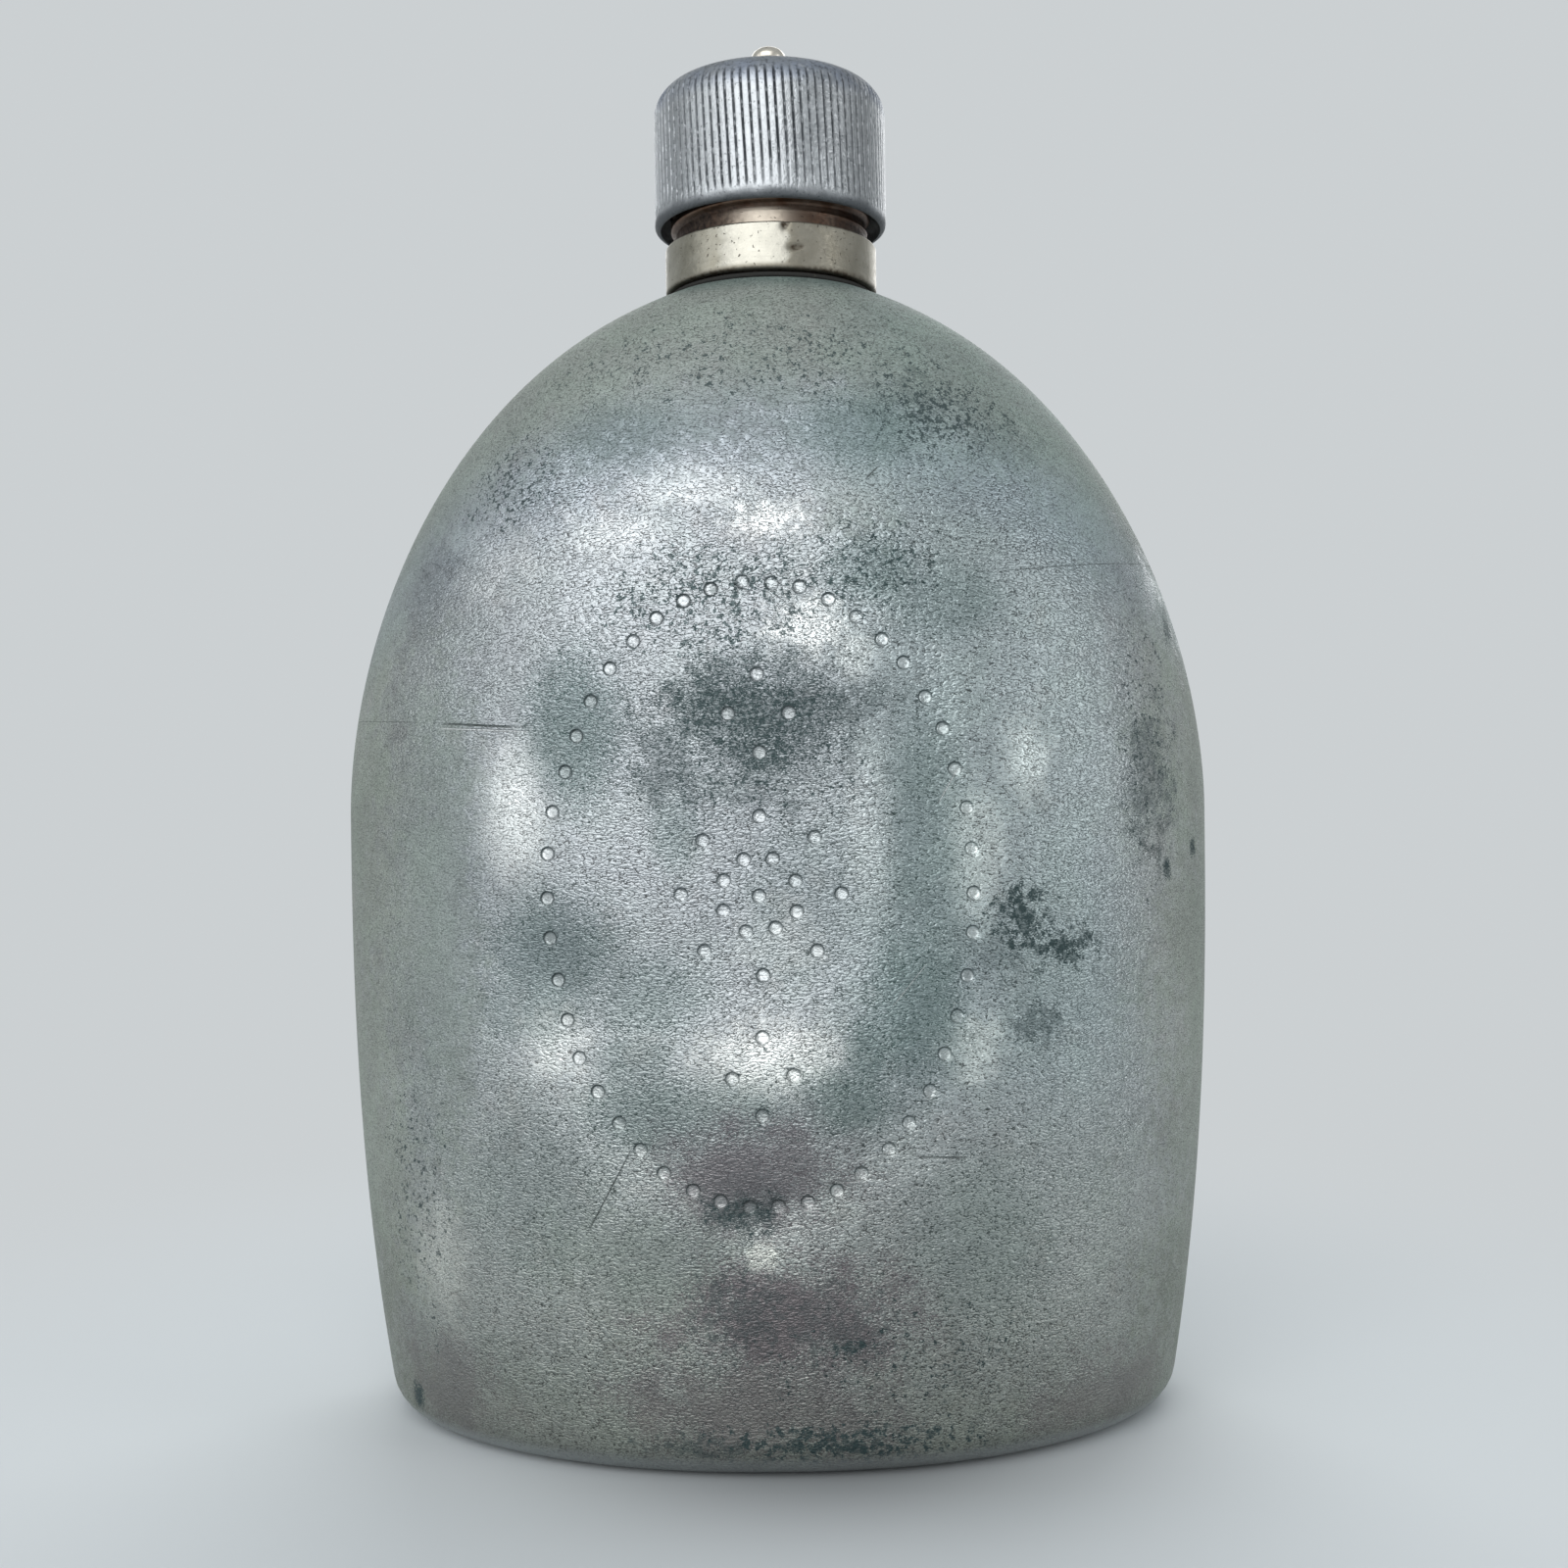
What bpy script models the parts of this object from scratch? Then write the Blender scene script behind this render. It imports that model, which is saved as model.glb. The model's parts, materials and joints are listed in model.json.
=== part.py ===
"""Aluminium field water bottle with a kidney-shaped body and a fluted screw cap.

The bottle stands upright on its flat base. Its convex front faces -Y, the hollow back that
lies against the hip faces +Y, and the neck and cap turn about the Z axis. All sizes are in
metres. The body is one drawn shell whose neck tube passes through a sleeve and is flanged
over the sleeve's top edge. A plain band covers the foot of the sleeve. The cap carries a
swivel stud and a cork gasket.
"""

import math

import bmesh
import bpy
from mathutils import Matrix

MM = 0.001

# Clearance between pieces that touch
FIT_GAP = 0.3 * MM

# Body shell
BODY_WIDTH = 141.4 * MM
BODY_FRONT_DEPTH = 37.0 * MM
BODY_BACK_DEPTH = 26.0 * MM
BASE_WIDTH = 127.6 * MM
BASE_FRONT_DEPTH = 32.0 * MM
BASE_BACK_DEPTH = 23.5 * MM
BASE_CORNER_RADIUS = 6.0 * MM
WIDEST_HEIGHT = 97.5 * MM
SHOULDER_HEIGHT = 179.7 * MM
SIDE_SWEEP = 10.0 * MM
BACK_HORN = 16.0 * MM
BODY_WALL = 1.2 * MM

# Exponents of the rounded forms: in the section and the dome 2 is an ellipse, and more is squarer
SECTION_POWER = 2.4
DOME_WIDTH_POWER = 1.84
DOME_DEPTH_POWER = 3.0
TAPER_POWER = 2.5

# Neck tube of the body
NECK_RADIUS = 14.2 * MM
LIP_OVERHANG = 1.0 * MM
SEAT_MARGIN = 0.5 * MM

# Seal, threaded sleeve and collar band
SEAL_THICKNESS = 0.9 * MM
SLEEVE_LENGTH = 27.3 * MM
SLEEVE_WALL = 0.8 * MM
THREAD_DEPTH = 0.9 * MM
THREAD_LEAD_IN = 0.8 * MM
BAND_HEIGHT = 7.3 * MM
BAND_WALL = 1.5 * MM
BAND_EDGE_RADIUS = 0.4 * MM

# Cap
CAP_CLEARANCE = 0.35 * MM
EXPOSED_THREAD = 3.2 * MM
CAP_SKIRT_WALL = 2.2 * MM
CAP_RIM_WALL = 1.1 * MM
CAP_RIM_RADIUS = 0.8 * MM
CAP_RIM_BORE_DEPTH = 1.6 * MM
CAP_TOP_THICKNESS = 2.3 * MM
CAP_SHOULDER_RADIUS = 5.0 * MM
CAP_CROWN = 2.2 * MM
FLUTE_COUNT = 90
FLUTE_DEPTH = 0.36 * MM
FLUTE_WIDTH = 0.72 * MM
PLAIN_RIM_HEIGHT = 1.8 * MM

# Gasket and swivel stud
GASKET_THICKNESS = 1.8 * MM
STUD_RECESS_RADIUS = 6.5 * MM
STUD_RECESS_DEPTH = 2.3 * MM
STUD_SHANK_RADIUS = 1.5 * MM
STUD_COLLAR_RADIUS = 2.4 * MM
STUD_COLLAR_HEIGHT = 0.7 * MM
STUD_WAIST_RADIUS = 1.6 * MM
STUD_WAIST_HEIGHT = 1.4 * MM
STUD_HEAD_RADIUS = 2.8 * MM
STUD_HEAD_EDGE = 0.6 * MM
STUD_HEAD_DOME = 1.9 * MM
STUD_HEAD_CHAMFER = 0.3 * MM
STUD_TAIL_RADIUS = 2.3 * MM
STUD_TAIL_HEIGHT = 0.6 * MM
WASHER_RADIUS = 4.4 * MM
WASHER_THICKNESS = 0.6 * MM

# Facets
BODY_SIDES = 52
CORNER_STEPS = 4
WALL_STEPS = 6
DOME_STEPS = 13
ROUND_SIDES = 60
SMALL_SIDES = 24
SMOOTH_ANGLE = math.radians(35.0)

# Radii that follow from the driving dimensions
SLEEVE_BORE_RADIUS = NECK_RADIUS + FIT_GAP
SLEEVE_FOOT_RADIUS = SLEEVE_BORE_RADIUS + SLEEVE_WALL
SLEEVE_RADIUS = SLEEVE_FOOT_RADIUS + THREAD_DEPTH
BAND_BORE_RADIUS = SLEEVE_FOOT_RADIUS + FIT_GAP
BAND_RADIUS = BAND_BORE_RADIUS + BAND_WALL
SEAT_RADIUS = BAND_RADIUS + SEAT_MARGIN
CAP_BORE_RADIUS = SLEEVE_RADIUS + CAP_CLEARANCE
CAP_RADIUS = CAP_BORE_RADIUS + CAP_SKIRT_WALL
STUD_HOLE_RADIUS = STUD_SHANK_RADIUS + FIT_GAP

# Heights, stacked up from the shoulder
SEAL_BASE = SHOULDER_HEIGHT + FIT_GAP
SLEEVE_BASE = SEAL_BASE + SEAL_THICKNESS + FIT_GAP
BAND_TOP = SLEEVE_BASE + BAND_HEIGHT
LIP_BASE = SLEEVE_BASE + SLEEVE_LENGTH + FIT_GAP
GASKET_BASE = LIP_BASE + BODY_WALL + FIT_GAP
CAP_RIM = BAND_TOP + EXPOSED_THREAD
CAP_CEILING = GASKET_BASE + GASKET_THICKNESS + FIT_GAP
CAP_TOP = CAP_CEILING + CAP_TOP_THICKNESS
RECESS_CEILING = CAP_CEILING + STUD_RECESS_DEPTH
WASHER_BASE = RECESS_CEILING - FIT_GAP - WASHER_THICKNESS
STUD_TAIL_TOP = WASHER_BASE - FIT_GAP
STUD_COLLAR_BASE = CAP_TOP + CAP_CROWN + FIT_GAP


def clear_scene():
    """Removes every object that the file starts with."""
    for item in list(bpy.data.objects):
        bpy.data.objects.remove(item)


def make_material(name, color, roughness, metallic):
    """A Principled material with one colour."""
    material = bpy.data.materials.new(name)
    material.use_nodes = True
    shader = material.node_tree.nodes["Principled BSDF"]
    shader.inputs["Base Color"].default_value = (*color, 1.0)
    shader.inputs["Roughness"].default_value = roughness
    shader.inputs["Metallic"].default_value = metallic
    material.diffuse_color = (*color, 1.0)
    return material


def add_object(name, bm, material=None, height=0.0, parent=None):
    """Turns a bmesh into a smooth-shaded object that stands at a height on the Z axis."""
    mesh = bpy.data.meshes.new(name)
    bm.to_mesh(mesh)
    bm.free()
    mesh.shade_smooth()
    mesh.set_sharp_from_angle(angle=SMOOTH_ANGLE)
    item = bpy.data.objects.new(name, mesh)
    bpy.context.scene.collection.objects.link(item)
    if material:
        mesh.materials.append(material)
    item.parent = parent
    item.location.z = height - parent.location.z if parent else height
    return item


def arc(center_r, center_z, radius, start_deg, end_deg, steps):
    """Profile points (r, z) on a circular arc, both ends included."""
    angles = [math.radians(start_deg + (end_deg - start_deg) * i / steps) for i in range(steps + 1)]
    return [(center_r + radius * math.cos(a), center_z + radius * math.sin(a)) for a in angles]


def turned(profile, sides):
    """Spins a closed outline of (r, z) points once around the Z axis.

    An outline that starts and ends on the axis is left open along it.
    """
    bm = bmesh.new()
    verts = [bm.verts.new((r, 0.0, z)) for r, z in profile]
    edges = [bm.edges.new(pair) for pair in zip(verts, verts[1:])]
    if profile[0][0] > 0.0:
        edges.append(bm.edges.new((verts[-1], verts[0])))
    bmesh.ops.spin(
        bm,
        geom=verts + edges,
        cent=(0.0, 0.0, 0.0),
        axis=(0.0, 0.0, 1.0),
        angle=2.0 * math.pi,
        steps=sides,
        use_merge=True,
    )
    bmesh.ops.remove_doubles(bm, verts=bm.verts, dist=0.001 * MM)
    bmesh.ops.recalc_face_normals(bm, faces=bm.faces)
    return bm


def swelled(half_size, rise, power):
    """A half size of the dome, which narrows from the widest level to the round neck seat.

    The rise runs from 0 at the widest level to 1 at the seat.
    """
    return math.sqrt(SEAT_RADIUS**2 + (half_size**2 - SEAT_RADIUS**2) * (1.0 - rise**power))


def section_sizes(height):
    """Half width, front depth, back depth and fullness of the body's section at a height.

    Fullness is 1 up to the widest level, and falls to 0 at the neck seat, where the section
    has become a circle. Below the widest level a shallow curve runs in to the base.
    """
    half_width = BODY_WIDTH / 2.0
    if height > WIDEST_HEIGHT:
        rise = (height - WIDEST_HEIGHT) / (SHOULDER_HEIGHT - WIDEST_HEIGHT)
        width = swelled(half_width, rise, DOME_WIDTH_POWER)
        front = swelled(BODY_FRONT_DEPTH, rise, DOME_DEPTH_POWER)
        back = swelled(BODY_BACK_DEPTH, rise, DOME_DEPTH_POWER)
        return width, front, back, (width - SEAT_RADIUS) / (half_width - SEAT_RADIUS)
    drop = (1.0 - height / WIDEST_HEIGHT) ** TAPER_POWER
    width = half_width + (BASE_WIDTH / 2.0 - half_width) * drop
    front = BODY_FRONT_DEPTH + (BASE_FRONT_DEPTH - BODY_FRONT_DEPTH) * drop
    back = BODY_BACK_DEPTH + (BASE_BACK_DEPTH - BODY_BACK_DEPTH) * drop
    return width, front, back, 1.0


def kidney_section(width, front, back, fullness):
    """Points (x, y) of one section of the body, anticlockwise seen from above.

    Front and back are half superellipses on a centre line that sweeps back towards the
    sides. The back stands out further beside its middle, which leaves the middle hollow.
    """
    power = 2.0 / (2.0 + (SECTION_POWER - 2.0) * fullness)
    points = []
    for i in range(BODY_SIDES):
        angle = 2.0 * math.pi * i / BODY_SIDES
        across = math.copysign(abs(math.cos(angle)) ** power, math.cos(angle))
        through = abs(math.sin(angle)) ** power
        bend = (fullness * across) ** 2
        if math.sin(angle) > 0.0:
            reach = through * (back + BACK_HORN * bend)
        else:
            reach = -through * front
        points.append((width * across, SIDE_SWEEP * bend + reach))
    return points


def body_sections():
    """Each section of the body's outer face with its height, from the base to the lip's edge."""
    sections = []
    for i in range(CORNER_STEPS + 1):
        angle = math.pi / 2.0 * i / CORNER_STEPS
        height = BASE_CORNER_RADIUS * (1.0 - math.cos(angle))
        inset = BASE_CORNER_RADIUS * (1.0 - math.sin(angle))
        width, front, back, fullness = section_sizes(height)
        sections.append((kidney_section(width - inset, front - inset, back - inset, fullness), height))
    for i in range(1, WALL_STEPS + 1):
        height = BASE_CORNER_RADIUS + (WIDEST_HEIGHT - BASE_CORNER_RADIUS) * i / WALL_STEPS
        sections.append((kidney_section(*section_sizes(height)), height))
    for i in range(1, DOME_STEPS + 1):
        height = WIDEST_HEIGHT + (SHOULDER_HEIGHT - WIDEST_HEIGHT) * math.sin(math.pi / 2.0 * i / DOME_STEPS)
        sections.append((kidney_section(*section_sizes(height)), height))
    lip_radius = NECK_RADIUS + LIP_OVERHANG
    for radius, height in ((NECK_RADIUS, SHOULDER_HEIGHT), (NECK_RADIUS, LIP_BASE), (lip_radius, LIP_BASE)):
        sections.append((kidney_section(radius, radius, radius, 0.0), height))
    return sections


def make_body_shell(material):
    """The drawn shell: its sections are lofted up from the base, then it gets its wall."""
    bm = bmesh.new()
    rings = [[bm.verts.new((x, y, height)) for x, y in points] for points, height in body_sections()]
    bm.faces.new(reversed(rings[0]))
    for below, above in zip(rings, rings[1:]):
        for i in range(BODY_SIDES):
            j = (i + 1) % BODY_SIDES
            bm.faces.new((below[i], below[j], above[j], above[i]))
    shell = add_object("body_shell", bm, material)
    wall = shell.modifiers.new("wall", "SOLIDIFY")
    wall.thickness = BODY_WALL
    wall.offset = -1.0
    wall.use_even_offset = True
    wall.use_quality_normals = True
    return shell


def make_neck_seal(material):
    """The dark washer that seals the sleeve and its band against the shoulder."""
    outer = BAND_RADIUS - SEAT_MARGIN
    profile = [
        (SLEEVE_BORE_RADIUS, 0.0),
        (outer, 0.0),
        (outer, SEAL_THICKNESS),
        (SLEEVE_BORE_RADIUS, SEAL_THICKNESS),
    ]
    return add_object("neck_seal", turned(profile, ROUND_SIDES), material, SEAL_BASE)


def make_neck_ferrule(material):
    """The sleeve around the neck tube, up to its thread's crests, with a foot for the band."""
    step = BAND_HEIGHT + FIT_GAP
    profile = [
        (SLEEVE_BORE_RADIUS, 0.0),
        (SLEEVE_FOOT_RADIUS, 0.0),
        (SLEEVE_FOOT_RADIUS, step),
        (SLEEVE_RADIUS, step),
        (SLEEVE_RADIUS, SLEEVE_LENGTH - THREAD_LEAD_IN),
        (SLEEVE_RADIUS - THREAD_LEAD_IN, SLEEVE_LENGTH),
        (SLEEVE_BORE_RADIUS, SLEEVE_LENGTH),
    ]
    return add_object("neck_ferrule", turned(profile, ROUND_SIDES), material, SLEEVE_BASE)


def make_collar_band(material):
    """The plain band around the foot of the sleeve."""
    radius = BAND_EDGE_RADIUS
    profile = [
        (BAND_BORE_RADIUS, 0.0),
        *arc(BAND_RADIUS - radius, radius, radius, -90.0, 0.0, 3),
        *arc(BAND_RADIUS - radius, BAND_HEIGHT - radius, radius, 0.0, 90.0, 3),
        (BAND_BORE_RADIUS, BAND_HEIGHT),
    ]
    return add_object("collar_band", turned(profile, ROUND_SIDES), material, SLEEVE_BASE)


def cap_profile():
    """Outline (r, z) of the cap without its flutes, with z from the rim."""
    ceiling = CAP_CEILING - CAP_RIM
    recess = RECESS_CEILING - CAP_RIM
    top = CAP_TOP - CAP_RIM
    rim_bore = CAP_RADIUS - CAP_RIM_WALL
    flat_radius = CAP_RADIUS - CAP_SHOULDER_RADIUS
    crown = []
    crown_steps = 3
    for i in range(1, crown_steps + 1):
        radius = flat_radius + (STUD_HOLE_RADIUS - flat_radius) * i / crown_steps
        crown.append((radius, top + CAP_CROWN * (1.0 - (radius / flat_radius) ** 2)))
    return [
        (rim_bore, 0.0),
        *arc(CAP_RADIUS - CAP_RIM_RADIUS, CAP_RIM_RADIUS, CAP_RIM_RADIUS, -90.0, 0.0, 2),
        *arc(flat_radius, top - CAP_SHOULDER_RADIUS, CAP_SHOULDER_RADIUS, 0.0, 90.0, 5),
        *crown,
        (STUD_HOLE_RADIUS, recess),
        (STUD_RECESS_RADIUS, recess),
        (STUD_RECESS_RADIUS, ceiling),
        (CAP_BORE_RADIUS, ceiling),
        (CAP_BORE_RADIUS, CAP_RIM_BORE_DEPTH + rim_bore - CAP_BORE_RADIUS),
        (rim_bore, CAP_RIM_BORE_DEPTH),
    ]


def flute_cutters():
    """One slim diamond-shaped rod for each flute, standing in the face of the skirt."""
    length = CAP_TOP - CAP_RIM - PLAIN_RIM_HEIGHT
    bm = bmesh.new()
    for i in range(FLUTE_COUNT):
        rod = bmesh.ops.create_cone(bm, cap_ends=True, segments=4, radius1=1.0, radius2=1.0, depth=length)
        bmesh.ops.scale(bm, vec=(FLUTE_DEPTH, FLUTE_WIDTH / 2.0, 1.0), verts=rod["verts"])
        bmesh.ops.translate(bm, vec=(CAP_RADIUS, 0.0, PLAIN_RIM_HEIGHT + length / 2.0), verts=rod["verts"])
        turn = Matrix.Rotation(2.0 * math.pi * (i + 0.5) / FLUTE_COUNT, 3, "Z")
        bmesh.ops.rotate(bm, cent=(0.0, 0.0, 0.0), matrix=turn, verts=rod["verts"])
    return bm


def make_cap_shell(material, pivot):
    """The cap: a turned cup with the flutes cut into its skirt."""
    cap = add_object("cap_shell", turned(cap_profile(), FLUTE_COUNT), material, CAP_RIM, pivot)
    cutter = add_object("flute_cutter", flute_cutters(), None, CAP_RIM, pivot)
    cutter.hide_render = True
    cutter.display_type = "WIRE"
    boolean = cap.modifiers.new("flutes", "BOOLEAN")
    boolean.operation = "DIFFERENCE"
    boolean.object = cutter
    return cap


def make_cap_gasket(material, pivot):
    """The cork disc that the cap presses on the lip of the neck."""
    radius = CAP_BORE_RADIUS - FIT_GAP
    profile = [(0.0, 0.0), (radius, 0.0), (radius, GASKET_THICKNESS), (0.0, GASKET_THICKNESS)]
    return add_object("cap_gasket", turned(profile, ROUND_SIDES), material, GASKET_BASE, pivot)


def make_stud_washer(material, pivot):
    """The washer that the stud's tail is riveted over, inside the cap."""
    profile = [
        (STUD_HOLE_RADIUS, 0.0),
        (WASHER_RADIUS, 0.0),
        (WASHER_RADIUS, WASHER_THICKNESS),
        (STUD_HOLE_RADIUS, WASHER_THICKNESS),
    ]
    return add_object("stud_washer", turned(profile, SMALL_SIDES), material, WASHER_BASE, pivot)


def make_chain_stud(material, pivot):
    """The swivel stud: a domed head on a waist and collar, and a riveted tail in the cap."""
    shank = STUD_COLLAR_BASE - STUD_TAIL_TOP
    collar_top = shank + STUD_COLLAR_HEIGHT
    head_base = collar_top + STUD_WAIST_HEIGHT
    dome_base = head_base + STUD_HEAD_EDGE
    dome_steps = 5
    dome = []
    for i in range(dome_steps + 1):
        angle = math.pi / 2.0 * i / dome_steps
        dome.append((STUD_HEAD_RADIUS * math.cos(angle), dome_base + STUD_HEAD_DOME * math.sin(angle)))
    dome[-1] = (0.0, dome_base + STUD_HEAD_DOME)
    profile = [
        (0.0, -STUD_TAIL_HEIGHT),
        (STUD_SHANK_RADIUS, -STUD_TAIL_HEIGHT),
        (STUD_TAIL_RADIUS, -STUD_TAIL_HEIGHT / 2.0),
        (STUD_TAIL_RADIUS, 0.0),
        (STUD_SHANK_RADIUS, 0.0),
        (STUD_SHANK_RADIUS, shank),
        (STUD_COLLAR_RADIUS, shank),
        (STUD_COLLAR_RADIUS, collar_top),
        (STUD_WAIST_RADIUS, collar_top),
        (STUD_WAIST_RADIUS, head_base),
        (STUD_HEAD_RADIUS - STUD_HEAD_CHAMFER, head_base),
        (STUD_HEAD_RADIUS, head_base + STUD_HEAD_CHAMFER),
        *dome,
    ]
    return add_object("chain_stud", turned(profile, SMALL_SIDES), material, STUD_TAIL_TOP, pivot)


def main():
    """Builds the bottle."""
    clear_scene()
    aluminium = make_material("dull_aluminium", (0.50, 0.53, 0.52), 0.45, 1.0)
    cap_metal = make_material("cap_aluminium", (0.56, 0.59, 0.61), 0.38, 1.0)
    nickel = make_material("worn_nickel", (0.62, 0.59, 0.52), 0.30, 1.0)
    brass = make_material("tarnished_brass", (0.36, 0.22, 0.14), 0.40, 1.0)
    rubber = make_material("black_seal", (0.02, 0.02, 0.018), 0.85, 0.0)
    cork = make_material("cork", (0.48, 0.33, 0.20), 0.90, 0.0)

    make_body_shell(aluminium)
    make_neck_seal(rubber)
    make_neck_ferrule(brass)
    make_collar_band(nickel)

    pivot = bpy.data.objects.new("cap_pivot", None)
    bpy.context.scene.collection.objects.link(pivot)
    pivot.location.z = CAP_RIM
    make_cap_shell(cap_metal, pivot)
    make_cap_gasket(cork, pivot)
    make_stud_washer(nickel, pivot)
    make_chain_stud(nickel, pivot)


main()
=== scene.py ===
"""Looks of an aluminium field bottle with a fluted screw cap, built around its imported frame.

Everything is in metres and in the frame of the CAD model. The bottle stands on z = 0 with its
neck along Z, and its convex front looks towards -Y. Each sub-assembly is a class that holds
its sizes, works its surfaces out as numpy grids and dresses them with its finishes.
"""

from __future__ import annotations

import json
import logging
import math
from collections.abc import Callable
from dataclasses import dataclass
from enum import Enum
from functools import reduce

import bpy
import numpy as np
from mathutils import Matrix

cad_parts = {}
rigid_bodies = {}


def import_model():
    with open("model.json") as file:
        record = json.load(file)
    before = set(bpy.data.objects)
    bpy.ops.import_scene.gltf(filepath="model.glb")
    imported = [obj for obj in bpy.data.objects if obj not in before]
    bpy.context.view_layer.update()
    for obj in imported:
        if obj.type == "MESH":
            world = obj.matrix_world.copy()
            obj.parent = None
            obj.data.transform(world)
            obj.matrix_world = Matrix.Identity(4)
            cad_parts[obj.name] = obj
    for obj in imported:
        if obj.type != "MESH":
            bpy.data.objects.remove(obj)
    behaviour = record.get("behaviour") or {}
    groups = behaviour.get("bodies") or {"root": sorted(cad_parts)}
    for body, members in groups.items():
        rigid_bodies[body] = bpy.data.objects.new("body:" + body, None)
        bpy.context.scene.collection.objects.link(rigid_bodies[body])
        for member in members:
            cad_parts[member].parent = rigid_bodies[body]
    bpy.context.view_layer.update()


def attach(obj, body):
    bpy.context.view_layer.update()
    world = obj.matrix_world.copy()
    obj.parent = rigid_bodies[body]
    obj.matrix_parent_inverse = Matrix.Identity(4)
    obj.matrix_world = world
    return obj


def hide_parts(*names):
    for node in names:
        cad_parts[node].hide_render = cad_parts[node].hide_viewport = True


LOG = logging.getLogger("field_bottle")
MM = 0.001
TURN = 2.0 * math.pi
QUARTER = math.pi / 2.0
ORIGIN = (0.0, 0.0, 0.0)
THREAD_PITCH = 3.2 * MM
Colour = tuple[float, float, float]
Point = tuple[float, float, float]
Span = tuple[float, float]
Socket = bpy.types.NodeSocket
Sockets = dict[str, Socket]
Material = bpy.types.Material


class Body(Enum):
    """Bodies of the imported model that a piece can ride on."""

    CANTEEN = "canteen"
    STUD = "stud"
    CAP = "cap"


class Slot(Enum):
    """Material slots of the record."""

    BODY = "body_aluminium"
    CAP = "cap_aluminium"
    NICKEL = "worn_nickel"
    BRASS = "tarnished_brass"
    SEAL = "black_seal"
    CORK = "cork"


class Side(Enum):
    """Face of the body that a dent lies in."""

    FRONT = "front"
    BACK = "back"


def ease(value: np.ndarray | float, low: float, high: float) -> np.ndarray:
    """Smooth step from 0 at low to 1 at high: t squared times (3 - 2t).

    Args:
        value: Numbers to judge.
        low: Value that gives 0.
        high: Value that gives 1, which may be the smaller one.

    Returns:
        Numbers from 0 to 1.
    """
    share = np.clip((np.asarray(value, float) - low) / (high - low), 0.0, 1.0)
    return share * share * (3.0 - 2.0 * share)


def pairs(radius: np.ndarray | float, height: np.ndarray | float) -> np.ndarray:
    """(radius, height) pairs, where one of the two may be a single number for all of them."""
    return np.stack(np.broadcast_arrays(radius, height), axis=-1)


def oval(across: float, up: float, angles: np.ndarray) -> np.ndarray:
    """Points on an ellipse around 0: (across cos t, up sin t) for each angle t."""
    return pairs(across * np.cos(angles), up * np.sin(angles))


def arc(center: Span, radius: float, start: float, end: float, steps: int) -> np.ndarray:
    """Points on a circular arc: the centre plus radius times (cosine, sine) of each angle.

    Args:
        center: Radius and height of the arc's centre.
        radius: Radius of the arc.
        start: First angle in degrees.
        end: Last angle in degrees.
        steps: Number of stretches between the points.

    Returns:
        Array of (radius, height) pairs, both ends included.
    """
    angles = np.radians(np.linspace(start, end, steps + 1))
    return pairs(center[0] + radius * np.cos(angles), center[1] + radius * np.sin(angles))


def even_angles(count: int) -> np.ndarray:
    """Angles in radians that part a full turn evenly."""
    return np.arange(count) * TURN / count


def from_front(angles: np.ndarray) -> np.ndarray:
    """Angles counted from the front, which is -Y, as values from minus pi to pi."""
    return (angles + QUARTER + math.pi) % TURN - math.pi


def around_axis(radius: np.ndarray, height: np.ndarray, angles: np.ndarray) -> np.ndarray:
    """Grid of points around the Z axis: (r cos a, r sin a, z) for each radius, angle and height.

    Args:
        radius: Radii, one for each ring or one for each point.
        height: Heights, one for each ring or one for each point.
        angles: Angles in radians, one for each column or one for each point.

    Returns:
        Array of rings by columns by 3.
    """
    radius = radius[:, None] if radius.ndim == 1 else radius
    height = height[:, None] if height.ndim == 1 else height
    x = radius * np.cos(angles)
    y = radius * np.sin(angles)
    return np.stack([x, y, np.broadcast_to(height, x.shape)], axis=-1)


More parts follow.
